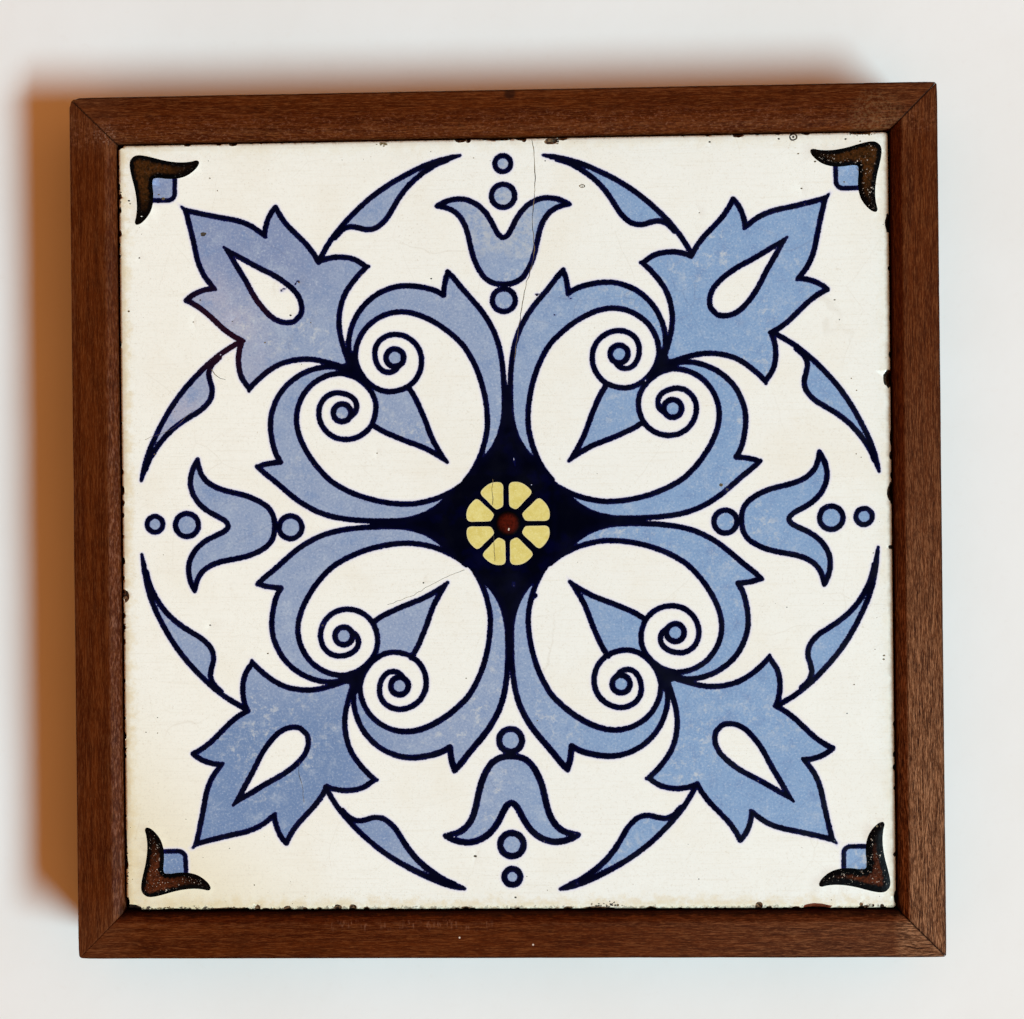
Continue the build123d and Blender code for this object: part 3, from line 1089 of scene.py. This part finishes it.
class Shading(Nodes):
    """One procedural material, laid coat by coat. Sizes of patterns are in millimetres, places in metres."""

    def __init__(self, name):
        self.material = bpy.data.materials.new(name)
        self.material.use_nodes = True
        super().__init__(self.material.node_tree)
        self.space = self.add("ShaderNodeTexCoord").outputs["Object"]
        self.base = None

    def position(self):
        """The three coordinates of the shaded point."""
        return tuple(self.add("ShaderNodeSeparateXYZ", {0: self.space}).outputs)

    def attribute(self, name, output="Fac"):
        return self.add("ShaderNodeAttribute", attribute_name=name).outputs[output]

    def scaled(self, vector, sizes, offset=0.0):
        inputs = {"Vector": vector, "Scale": sizes, "Location": (offset, offset * 0.7, offset * 0.3)}
        return self.add("ShaderNodeMapping", inputs).outputs["Vector"]

    def noise(self, size, detail=3.0, roughness=0.55, vector=None, offset=0.0):
        """Noise with features of one size, or three, over the object or over a vector in millimetres."""
        sizes = size if isinstance(size, tuple) else (size,) * 3
        unit = MM if vector is None else 1.0
        scale = tuple(1 / (s * unit) for s in sizes)
        vector = self.scaled(self.space if vector is None else vector, scale, offset)
        inputs = {"Vector": vector, "Scale": 1.0, "Detail": detail, "Roughness": roughness}
        return self.add("ShaderNodeTexNoise", inputs).outputs["Fac"]

    def ramp(self, value, low, high, out_low=0.0, out_high=1.0):
        """A smooth step from one level to another while the value goes from low to high."""
        inputs = {"Value": value, "From Min": low, "From Max": high, "To Min": out_low, "To Max": out_high}
        return self.add("ShaderNodeMapRange", inputs, interpolation_type="SMOOTHSTEP").outputs["Result"]

    def unsteady(self, value, noise, low, high):
        """The value with noise between two levels added, so that an edge drawn from it is uneven."""
        return self.plus(value, self.ramp(noise, 0.3, 0.7, low, high))

    def dots(self, places, radius):
        """Soft round spots at places in millimetres, seen from above."""
        seen = self.scaled(self.space, (1, 1, 0))
        found = 0.0
        for x, y in places:
            ends = {0: seen, 1: (x * MM, y * MM, 0)}
            distance = self.add("ShaderNodeVectorMath", ends, operation="DISTANCE").outputs["Value"]
            found = self.most(self.ramp(distance, 0.6 * radius * MM, 1.2 * radius * MM, 1.0, 0.0), found)
        return found

    def mix(self, factor, a, b):
        return self.add("ShaderNodeMix", {0: factor, 6: a, 7: b}, data_type="RGBA").outputs[2]

    def undercoat(self, factor, first, second):
        self.base = self.mix(factor, colour(*first), colour(*second))

    def coat(self, factor, *tint):
        """Another colour over the base, as thick as the factor says; the tint is a colour or a socket."""
        self.base = self.mix(factor, self.base, tint[0] if len(tint) == 1 else colour(*tint))

    def bump(self, height, distance, strength=1.0, normal=None):
        inputs = {"Height": height, "Distance": distance * MM, "Strength": strength}
        if normal is not None:
            inputs["Normal"] = normal
        return self.add("ShaderNodeBump", inputs).outputs["Normal"]

    def finish(self, roughness, normal=None, specular=None):
        shader = self.tree.nodes["Principled BSDF"]
        self.put(shader.inputs["Base Color"], self.base)
        self.put(shader.inputs["Roughness"], roughness)
        if normal is not None:
            self.put(shader.inputs["Normal"], normal)
        if specular is not None:
            shader.inputs["Specular IOR Level"].default_value = specular
        return self.material


def glaze_surface(s):
    """The patchy gloss of a fired glaze, and its slight orange peel."""
    normal = s.bump(s.noise(5.0, 2), 0.05, 0.5)
    normal = s.bump(s.noise(0.7, 3), 0.012, 0.6, normal)
    return s.ramp(s.noise(9.0, 4), 0.3, 0.7, 0.16, 0.34), normal


def frayed_edge(s):
    """The faint bloom round a drawn line, and navy colour strayed just outside it."""
    ink = s.attribute("ink")
    s.coat(s.ramp(ink, -0.32, -0.03, 0.0, 0.42), 104, 112, 176)
    fray = s.plus(ink, s.ramp(s.noise(0.42, 2, offset=7), 0.3, 0.75, -0.04, 0.13))
    s.coat(s.ramp(fray, -0.03, 0.03), 8, 9, 44)


def craze(s, size, width, strength):
    """A faint net of fine cracks, broken up so that it shows only in patches."""
    bends = s.add("ShaderNodeTexNoise", {"Vector": s.space, "Scale": 1 / (12 * MM)}).outputs["Color"]
    warped = s.add("ShaderNodeMixRGB", {0: 0.0035, 1: s.space, 2: bends}).outputs[0]
    inputs = {"Vector": warped, "Scale": 1 / (size * MM)}
    cells = s.add("ShaderNodeTexVoronoi", inputs, feature="DISTANCE_TO_EDGE")
    line = s.ramp(cells.outputs["Distance"], 0.0, width, strength, 0.0)
    return s.times(line, s.ramp(s.noise(30, 2, offset=2), 0.45, 0.62))


def ivory_glaze():
    """Off-white glaze, warmer to the lower left, with brown dirt that thickens towards the edges and a
    painted shadow at the right.
    """
    s = Shading("ivory_glaze")
    x, y, _ = s.position()
    rim = s.attribute("rim")
    s.undercoat(s.ramp(x, -0.1, 0.02), (247, 249, 238), (243, 247, 239))
    s.coat(s.ramp(s.plus(x, y), -0.2, -0.13, 1.0, 0.0), 234, 226, 194)
    s.coat(s.ramp(s.noise((16.0, 0.45, 1.0), 3, 0.6, offset=4), 0.5, 0.75, 0.0, 0.3), 226, 222, 204)
    s.coat(s.ramp(s.noise(24, 4, 0.6, offset=4), 0.45, 0.75, 0.0, 0.3), 236, 230, 208)
    s.coat(s.ramp(s.noise(0.9, 5, 0.75), 0.5, 0.8, 0.0, 0.45), 222, 216, 196)
    s.coat(s.ramp(s.noise(0.45, 3, 0.7, offset=18), 0.56, 0.72, 0.0, 0.4), 206, 200, 182)
    s.coat(s.ramp(s.attribute("ink"), -0.9, -0.1, 0.0, 0.6), 228, 229, 242)
    frayed_edge(s)
    dirty = s.most(s.ramp(x, -0.085, -0.098, 0.2, 0.6), s.ramp(y, -0.085, -0.098, 0.2, 0.55))
    stained_rim(s, x, y, rim, dirty)
    patches = s.most(s.ramp(s.noise(14, 3), 0.5, 0.7, 0.1, 0.6), s.times(dirty, 0.6))
    s.coat(s.times(s.ramp(s.noise(0.8, 4, 0.6, offset=9), 0.59, 0.74, 0.0, 0.8), patches), 176, 156, 118)
    s.coat(craze(s, 19.0, 0.008, 0.16), 188, 176, 152)
    roughness, normal = glaze_surface(s)
    return s.finish(s.most(roughness, s.ramp(rim, 0.9, 1.6, 0.75, 0.1)), normal)


def stained_rim(s, x, y, rim, dirty):
    """Dirt and shade by the rails: a wide cloud, a thin film, a painted shadow strip at the right, the caked
    lower edge.
    """
    cloud = s.unsteady(rim, s.noise(3.0, 6, 0.75), -1.6, 1.8)
    s.coat(s.times(s.ramp(cloud, 0.0, 4.5, 1.0, 0.0), dirty), 222, 202, 152)
    film = s.unsteady(rim, s.noise(1.1, 5, 0.7), -0.6, 0.6)
    filmed = s.ramp(s.minus(x, y), -0.1, 0.1, 0.4, 0.75)
    s.coat(s.times(s.ramp(film, -0.2, 0.8, 1.0, 0.0), filmed), 168, 132, 88)
    s.coat(s.ramp(film, -0.5, 0.2, 0.9, 0.0), 84, 54, 30)
    # painted shadow of the right rail: a dark brown strip with an uneven border along the tile's right edge
    shaded = s.unsteady(x, s.noise(2.5, 4, 0.6), -0.00015, 0.00015)
    s.coat(s.ramp(shaded, 0.0996, 0.1012, 0.0, 0.92), 140, 104, 68)
    caked = s.ramp(s.unsteady(rim, s.noise(1.3, 5, 0.75, offset=14), -0.9, 0.9), 0.35, 0.6, 0.95, 0.0)
    low, leftward = s.ramp(y, -0.0985, -0.0995), s.ramp(x, -0.04, -0.07, 0.55, 1.0)
    s.coat(s.times(caked, low, leftward), 50, 28, 14)


def blue_glaze():
    """Mottled grey-blue, paler where it is worn, lilac to the upper left."""
    s = Shading("blue_glaze")
    x, y, _ = s.position()
    s.undercoat(s.ramp(x, -0.02, 0.045), (147, 165, 193), (133, 166, 203))
    s.coat(s.times(s.ramp(y, -0.035, -0.055), s.ramp(x, -0.02, -0.05)), 114, 140, 178)
    s.coat(s.times(s.ramp(y, 0.05, 0.07), s.ramp(x, -0.03, -0.06)), 133, 149, 182)
    uneven = s.ramp(s.noise(14, 3, offset=8), 0.35, 0.6, 0.3, 0.7)
    s.coat(s.times(s.dots([(-86.0, 46.0)], 26), uneven), 180, 179, 194)
    clouds = s.noise(5.0, 6, 0.72)
    s.coat(s.ramp(clouds, 0.5, 0.74, 0.0, 0.5), 184, 198, 212)
    s.coat(s.ramp(clouds, 0.28, 0.5, 0.65, 0.0), 114, 142, 184)
    grain = s.noise(0.6, 4, 0.8, offset=3)
    s.coat(s.ramp(grain, 0.5, 0.76, 0.0, 0.75), 200, 212, 226)
    s.coat(s.ramp(grain, 0.26, 0.48, 0.75, 0.0), 100, 124, 168)
    rubbed = s.ramp(s.noise(2.2, 5, 0.75, offset=5), 0.5, 0.7)
    s.coat(s.times(rubbed, s.ramp(s.noise(26, 2, offset=1), 0.48, 0.64, 0.0, 0.7)), 206, 212, 212)
    top_flower = s.times(s.ramp(s.size_of(x), 0.006, 0.013, 0.55, 0.0), s.ramp(y, 0.068, 0.074))
    s.coat(s.times(top_flower, s.ramp(s.noise(1.8, 4, 0.7, offset=6), 0.35, 0.65)), 200, 204, 200)
    frayed_edge(s)
    s.coat(craze(s, 13.0, 0.01, 0.25), 98, 106, 140)
    return s.finish(*glaze_surface(s))


def yellow_glaze():
    """Pale yellow of the petals, duller towards their edges."""
    s = Shading("yellow_glaze")
    s.undercoat(s.ramp(s.noise(2.2, 4, 0.6), 0.3, 0.7), (228, 218, 137), (216, 202, 112))
    s.coat(s.ramp(s.noise(0.5, 3), 0.5, 0.72, 0.0, 0.5), 240, 234, 170)
    s.coat(s.ramp(s.attribute("ink"), -0.34, -0.04, 0.0, 0.6), 214, 208, 170)
    return s.finish(*glaze_surface(s))


def navy_glaze():
    """Near-black blue, brighter at the edge of a line, brownish where the ink ran thin at the upper left."""
    s = Shading("navy_glaze")
    x, y, _ = s.position()
    depth = s.unsteady(s.attribute("ink"), s.noise(2.4, 3), -0.2, 0.2)
    round_petals = s.ramp(s.most(s.size_of(x), s.size_of(y)), 0.0115, 0.0135, 3.0, 0.0)
    depth = s.plus(depth, round_petals)
    s.undercoat(s.ramp(depth, -0.05, 0.45), (9, 12, 60), (2, 3, 24))
    thin_x = s.ramp(s.size_of(s.plus(x, 0.072)), 0.006, 0.014, 1.0, 0.0)
    thin_y = s.ramp(s.size_of(s.minus(y, 0.052)), 0.006, 0.014, 0.9, 0.0)
    s.coat(s.times(thin_x, thin_y), 34, 12, 26)
    patches = s.ramp(s.noise(7.0, 3, offset=2), 0.5, 0.66, 0.0, 0.8)
    s.coat(s.ramp(depth, 0.6, 2.8), s.mix(patches, colour(1, 2, 14), colour(1, 2, 34)))
    return s.finish(*glaze_surface(s), specular=0.2)


def brown_enamel():
    """Thick enamel: a black margin and a mottled brown crest, redder at the bottom, with tiny painted glints.
    """
    s = Shading("brown_enamel")
    x, y, _ = s.position()
    far_x, far_y = s.size_of(x), s.size_of(y)
    depth = s.unsteady(s.attribute("enamel"), s.noise(0.9, 3), -0.25, 0.25)
    s.undercoat(s.ramp(s.noise(1.1, 4, 0.7), 0.35, 0.65), (40, 24, 8), (74, 42, 16))
    ruddy = s.mix(s.ramp(s.noise(0.8, 4, 0.7, offset=6), 0.35, 0.65), colour(52, 20, 11), colour(98, 46, 24))
    s.coat(s.ramp(s.minus(s.times(x, 0.3), y), -0.06, 0.07, 0.0, 0.75), ruddy)
    thick = s.times(s.ramp(x, 0.0, 0.08), s.ramp(y, 0.0, -0.08, 0.0, 0.65))
    s.base = s.mix(s.ramp(s.minus(depth, thick), 0.85, 1.7), colour(2, 2, 3), s.base)
    dark_tip = s.ramp(s.least(far_x, far_y), 0.083, 0.09, 0.85, 0.0)
    blotch = s.ramp(s.noise(0.7, 3, 0.7, offset=3), 0.52, 0.66, 0.0, 0.7)
    s.coat(s.most(blotch, dark_tip), 8, 4, 3)
    # painted glints: small pale highlight specks on the crest, more of them towards the lamp at the lower
    # right
    specks = s.ramp(s.noise(0.5, 3, 0.6, offset=5), 0.62, 0.67)
    here_and_there = s.ramp(s.noise(3.0, 2, offset=17), 0.4, 0.6)
    glints_toward_light = s.ramp(s.minus(x, y), -0.18, 0.02, 0.06, 0.9)
    s.coat(s.times(specks, s.ramp(depth, 0.4, 0.8), here_and_there, glints_toward_light), *PAINTED_GLINT)
    s.coat(s.ramp(s.most(far_x, far_y), 0.02, 0.05, 1.0, 0.0), bead_colour(s))
    return s.finish(0.42, s.bump(s.noise(1.0, 3, 0.6), 0.12, 0.8), specular=0.035)


def bead_colour(s):
    """The bead in the middle of the tile: dark red, black round its edge, with two small painted highlights.
    """
    red = s.mix(s.ramp(s.noise(0.8, 3, 0.7), 0.4, 0.7), colour(78, 21, 10), colour(44, 10, 6))
    red = s.mix(s.dots([(1.0, 0.1)], 2.65), colour(2, 2, 4), red)
    # two painted highlights on the bead
    return s.mix(s.dots([(1.2, -1.3), (1.15, -1.6)], 0.2), red, colour(*PAINTED_GLINT))


def biscuit_clay():
    """Bare clay in the chips: buff to brown, blackened in the lower left corner, and along the right by dirt
    and painted shadow.
    """
    s = Shading("biscuit_clay")
    x, y, _ = s.position()
    s.undercoat(s.ramp(s.noise(1.6, 5, 0.7), 0.35, 0.7), (82, 48, 28), (156, 124, 90))
    s.coat(s.ramp(s.noise(0.7, 3, offset=3), 0.42, 0.6), 34, 20, 12)
    # dirt and painted shadow of the right rail: chips along the right edge are blackened
    s.coat(s.ramp(x, 0.095, 0.1, 0.0, 0.85), 22, 11, 7)
    s.coat(s.ramp(s.plus(x, y), -0.19, -0.195, 0.0, 0.9), 20, 11, 7)
    red_chip = s.ramp(s.size_of(s.minus(x, 0.0805)), 0.004, 0.005, 0.8, 0.0)
    s.coat(s.times(red_chip, s.ramp(y, -0.099, -0.0985, 1.0, 0.0)), 112, 44, 18)
    return s.finish(0.85, s.bump(s.noise(0.6, 4, 0.7), 0.1, 1.0), specular=0.15)


def pit_stain():
    """Old dirt in pits, specks and hairline cracks."""
    s = Shading("pit_stain")
    s.undercoat(s.ramp(s.noise(3.0, 3, 0.6), 0.4, 0.6), (46, 38, 32), (110, 92, 58))
    return s.finish(s.ramp(s.noise(1.0, 2), 0.3, 0.7, 0.5, 0.8))


def frame_wood():
    """Chestnut brown hardwood, oiled dark: short fibres, fading and painted sheen low on the right, dusty on
    the left bevel.
    """
    s = Shading("frame_wood")
    grain = s.attribute("grain", "Vector")
    x, y, z = s.position()
    right, left = s.ramp(x, 0.098, 0.103), s.ramp(x, -0.098, -0.103)
    top, bottom = s.ramp(y, 0.098, 0.103), s.ramp(y, -0.098, -0.103)
    # painted sheen and fading: the right rail paler towards its lower end, the bottom rail paler on its
    # right, the corners paler where worn
    faded_and_sheen_right = s.times(right, s.ramp(y, 0.07, -0.09, 0.08, 1.0))
    faded_and_sheen_foot = s.times(s.ramp(bottom, 0.0, 1.0, 0.0, 0.3), s.ramp(x, 0.0, 0.1))
    corners = s.ramp(s.least(s.size_of(x), s.size_of(y)), 0.094, 0.106, 0.0, 0.16)
    faded_and_sheen = s.most(faded_and_sheen_right, faded_and_sheen_foot, corners)
    s.undercoat(s.ramp(s.noise((30, 1.3, 3), 4, 0.6, grain), 0.34, 0.66), (62, 20, 2), (81, 33, 6))
    s.coat(s.ramp(s.noise(7.0, 4, 0.6), 0.5, 0.7, 0.0, 0.4), 50, 16, 2)
    # the pale coat of fading and painted sheen
    s.coat(s.times(faded_and_sheen, 0.66), 114, 74, 46)
    fibre = s.noise((4.2, 0.22, 0.5), 4, 0.7, grain, 11)
    wood_fibres(s, grain, fibre, faded_and_sheen, left)
    inner_half = s.times(top, s.ramp(y, 0.1095, 0.106))
    mottle = s.noise((0.9, 0.6, 0.6), 4, 0.75, offset=12)
    s.coat(s.times(inner_half, s.ramp(mottle, 0.52, 0.68, 0.0, 0.5)), 128, 82, 58)
    s.coat(s.times(inner_half, s.ramp(mottle, 0.46, 0.34, 0.0, 0.5)), 40, 16, 6)
    wood_wear(s, grain, x, y)
    wood_dirt(s, x, y, z, bottom, right)
    normal = s.bump(fibre, 0.08, 0.9)
    normal = s.bump(s.noise((9.0, 1.2, 1.2), 3, 0.6, grain), 0.12, 0.4, normal)
    roughness = s.ramp(s.noise((20, 2, 2), 3, 0.5, grain), 0.3, 0.7, 0.5, 0.68)
    return s.finish(roughness, normal, specular=0.03)


def wood_fibres(s, grain, fibre, faded_and_sheen, left):
    """Light and dark fibres along the rail, clearer at the left and where fading and painted sheen make the
    wood paler.
    """
    hairs = s.noise((1.8, 0.13, 0.4), 2, 0.6, grain, 23)
    contrast = s.plus(s.times(faded_and_sheen, 0.5), s.ramp(left, 0.0, 1.0, 0.4, 0.3))
    light = s.most(s.ramp(fibre, 0.53, 0.61), s.ramp(hairs, 0.56, 0.65))
    dark = s.most(s.ramp(fibre, 0.465, 0.39), s.ramp(hairs, 0.44, 0.35))
    s.coat(s.times(light, contrast), s.mix(faded_and_sheen, colour(130, 76, 38), colour(172, 124, 88)))
    s.coat(s.times(dark, s.plus(contrast, 0.1)), 38, 14, 5)


def wood_wear(s, grain, x, y):
    """Worn arrises, the rubbed and dusty left bevel, and single scuffs and brush marks."""
    rubbed_arris = s.ramp(s.noise((3.0, 0.8, 0.8), 4, 0.7, grain, 2), 0.46, 0.68, 0.0, 0.45)
    s.coat(s.times(s.attribute("wear"), rubbed_arris), 122, 76, 46)
    left_bevel = s.times(s.ramp(x, -0.1048, -0.1036), s.ramp(x, -0.1, -0.101))
    left_bevel = s.times(left_bevel, s.ramp(s.size_of(y), 0.1035, 0.1015))
    rubbed = s.noise((2.2, 0.5, 0.5), 4, 0.75, grain, 31)
    dust = s.times(s.ramp(rubbed, 0.48, 0.66), s.ramp(y, 0.08, -0.02, 0.12, 0.4))
    s.coat(s.times(left_bevel, dust), 146, 100, 78)
    s.coat(s.times(left_bevel, s.ramp(rubbed, 0.54, 0.36, 0.1, 0.65)), 44, 17, 7)
    dusty = s.ramp(s.noise(0.7, 5, 0.8, offset=21), 0.45, 0.62, 0.0, 0.42)
    s.coat(s.times(s.dots([(97.5, 105.0)], 7.0), dusty), 128, 94, 62)
    scuffs = s.ramp(s.noise(0.5, 3, 0.75, offset=22), 0.52, 0.68, 0.0, 0.75)
    s.coat(s.times(s.dots([(-104.2, 104.0)], 3.0), scuffs), 150, 112, 92)
    s.coat(brushed_marks(s, x, y), 164, 116, 88)


def brushed_marks(s, x, y):
    """Short pale strokes across the grain, along the inner edge of the bottom rail left of its middle."""
    strokes = s.ramp(s.noise((0.4, 2.2, 1.0), 4, 0.7, offset=15), 0.5, 0.68, 0.0, 0.4)
    strokes = s.times(strokes, s.ramp(s.noise(3.0, 2, offset=16), 0.42, 0.56))
    across = s.times(s.ramp(y, -0.1068, -0.1044), s.ramp(y, -0.1032, -0.1037))
    along = s.times(s.ramp(x, -0.05, -0.044), s.ramp(x, -0.002, -0.008))
    return s.times(strokes, s.times(across, along))


def wood_dirt(s, x, y, z, bottom, right):
    """Dirt and painted shade at the foot of the bevel, the dark outer edge, the mitre joints and single
    spots.
    """
    # dirt and painted shade: dark in the crease at the foot of the bevel, mostly along the bottom rail, a
    # little along the right
    toe = s.unsteady(z, s.noise(1.6, 4, 0.6), -0.0003, 0.0003)
    toe_dirt_and_shade = s.plus(s.times(bottom, 0.75), s.times(right, 0.2))
    s.coat(s.times(s.ramp(toe, 0.0145, 0.0153, 1.0, 0.0), toe_dirt_and_shade), 20, 7, 3)
    s.coat(s.ramp(s.most(s.size_of(y), x), 0.1127, 0.1132, 0.0, 0.6), 30, 12, 6)
    s.coat(s.times(s.attribute("joint"), s.ramp(s.noise(0.8, 3), 0.3, 0.55, 0.6, 1.0)), 18, 7, 4)
    s.coat(s.times(s.dots([(2.7, 112.4)], 1.6), 0.7), 28, 13, 8)
    s.coat(s.dots([(-12.8, -108.0), (6.4, -109.9)], 0.26), 214, 198, 180)


def board_wood():
    """The backing board: pale thin panel, dusty and stained with age."""
    s = Shading("board_wood")
    s.undercoat(s.ramp(s.noise((90, 2.2, 3), 5, 0.6), 0.35, 0.65), (158, 118, 78), (120, 84, 52))
    s.coat(s.ramp(s.noise((5, 0.25, 0.4), 3, 0.6), 0.55, 0.7, 0.0, 0.6), 74, 46, 28)
    s.coat(s.ramp(s.noise(40.0, 4), 0.45, 0.75, 0.0, 0.5), 92, 70, 52)
    return s.finish(0.75, s.bump(s.noise((8, 0.4, 1), 4, 0.6), 0.08, 0.8))


# Surroundings

def make_floor():
    """The plain pale surface that the frame lies on, a little below its back."""
    s = Shading("pale_floor")
    s.undercoat(s.ramp(s.noise(60.0, 4), 0.3, 0.7), (236, 238, 235), (233, 234, 230))
    s.coat(s.ramp(s.noise(3.0, 5, 0.7), 0.55, 0.8, 0.0, 0.4), 229, 227, 221)
    material = s.finish(0.9, s.bump(s.noise(14.0, 3), 0.2, 0.4), specular=0.0)
    reach = 1800.0
    corners = [(-reach, -reach, 0), (reach, -reach, 0), (reach, reach, 0), (-reach, reach, 0)]
    floor = new_mesh("floor", corners, [(0, 1, 2, 3)], [material])
    floor.location.z = -0.0002


def make_room_light():
    """A warm dim fill from the horizon, a little stronger from the right; seen directly, the room is pale."""
    world = bpy.data.worlds.new("soft_room")
    world.use_nodes = True
    bpy.context.scene.world = world
    s = Nodes(world.node_tree)
    direction = s.add("ShaderNodeTexCoord").outputs["Generated"]
    right, _, height = s.add("ShaderNodeSeparateXYZ", {0: direction}).outputs

    bands = s.add("ShaderNodeValToRGB", {"Fac": height})
    stops = bands.color_ramp.elements
    stops[0].position, stops[0].color = 0.0, (0.30, 0.106, 0.029, 1)
    stops[1].position, stops[1].color = 0.93, (0.015, 0.012, 0.012, 1)
    for place, level in ((0.22, 1.0), (0.66, 1.0), (0.86, 0.45)):
        stops.new(place).color = (level, 0.346 * level, 0.091 * level, 1)
    strength = s.add("ShaderNodeMath", {0: right, 1: 0.345, 2: 0.735}, operation="MULTIPLY_ADD")
    fill = world.node_tree.nodes["Background"]
    s.put(fill.inputs["Color"], bands.outputs["Color"])
    s.put(fill.inputs["Strength"], strength.outputs[0])

    fade = {"Value": height, "From Min": 0.55, "From Max": 0.93, "To Min": 0.82, "To Max": 0.012}
    brightness = s.add("ShaderNodeMapRange", fade).outputs["Result"]
    room = s.add("ShaderNodeBackground", {"Color": (1.0, 0.985, 0.96, 1), "Strength": brightness})
    path = s.add("ShaderNodeLightPath").outputs
    seen = s.most(path["Is Camera Ray"], path["Is Glossy Ray"], path["Is Transmission Ray"])
    blend = s.add("ShaderNodeMixShader", {"Fac": seen, 1: fill.outputs[0], 2: room.outputs[0]})
    s.put(world.node_tree.nodes["World Output"].inputs["Surface"], blend.outputs[0])


def make_key_light():
    """One long soft lamp, low on the lower right, for the short shadows at the upper left."""
    distance = 9.0
    key = bpy.data.lights.new("key", "AREA")
    key.shape = "ELLIPSE"
    key.size = 0.62 * distance
    key.size_y = 0.18 * distance
    key.energy = 1385.0
    key.color = (0.575, 0.874, 1.0)
    lamp = bpy.data.objects.new("key", key)
    toward = Vector((1.35, -0.76, 1.0)).normalized()
    lamp.location = toward * distance
    lamp.rotation_euler = toward.to_track_quat("Z", "Y").to_euler()
    bpy.context.scene.collection.objects.link(lamp)


def make_camera():
    """The photograph's view: nearly straight down, a little right of the middle."""
    view = bpy.data.cameras.new("camera")
    view.sensor_width = 36.0
    view.lens = 38.67
    view.clip_start = 0.01
    camera = bpy.data.objects.new("camera", view)
    tilt = Vector([math.radians(angle) for angle in (0.01, -1.27, 0.62)])
    to_camera = Matrix.Rotation(tilt.length, 4, tilt.normalized())
    camera.matrix_world = Matrix.Translation(Vector((8.48, 3.77, 303.2)) * MM) @ to_camera.transposed()
    bpy.context.scene.collection.objects.link(camera)
    bpy.context.scene.camera = camera
    bpy.context.scene.view_settings.view_transform = "Standard"


def main():
    make_floor()
    make_room_light()
    make_key_light()
    make_camera()
    glazes = (ivory_glaze, blue_glaze, yellow_glaze, navy_glaze, brown_enamel, biscuit_clay, pit_stain)
    tile = make_tile([glaze() for glaze in glazes])
    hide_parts("tile")
    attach(tile, "root")
    wood = frame_wood()
    for turns, side in enumerate(RAIL_NAMES):
        rail = make_rail(side, turns, wood)
        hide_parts(f"frame_rail_{side}")
        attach(rail, "root")
    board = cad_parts["backing_board"]
    board.data.materials.clear()
    board.data.materials.append(board_wood())


main()
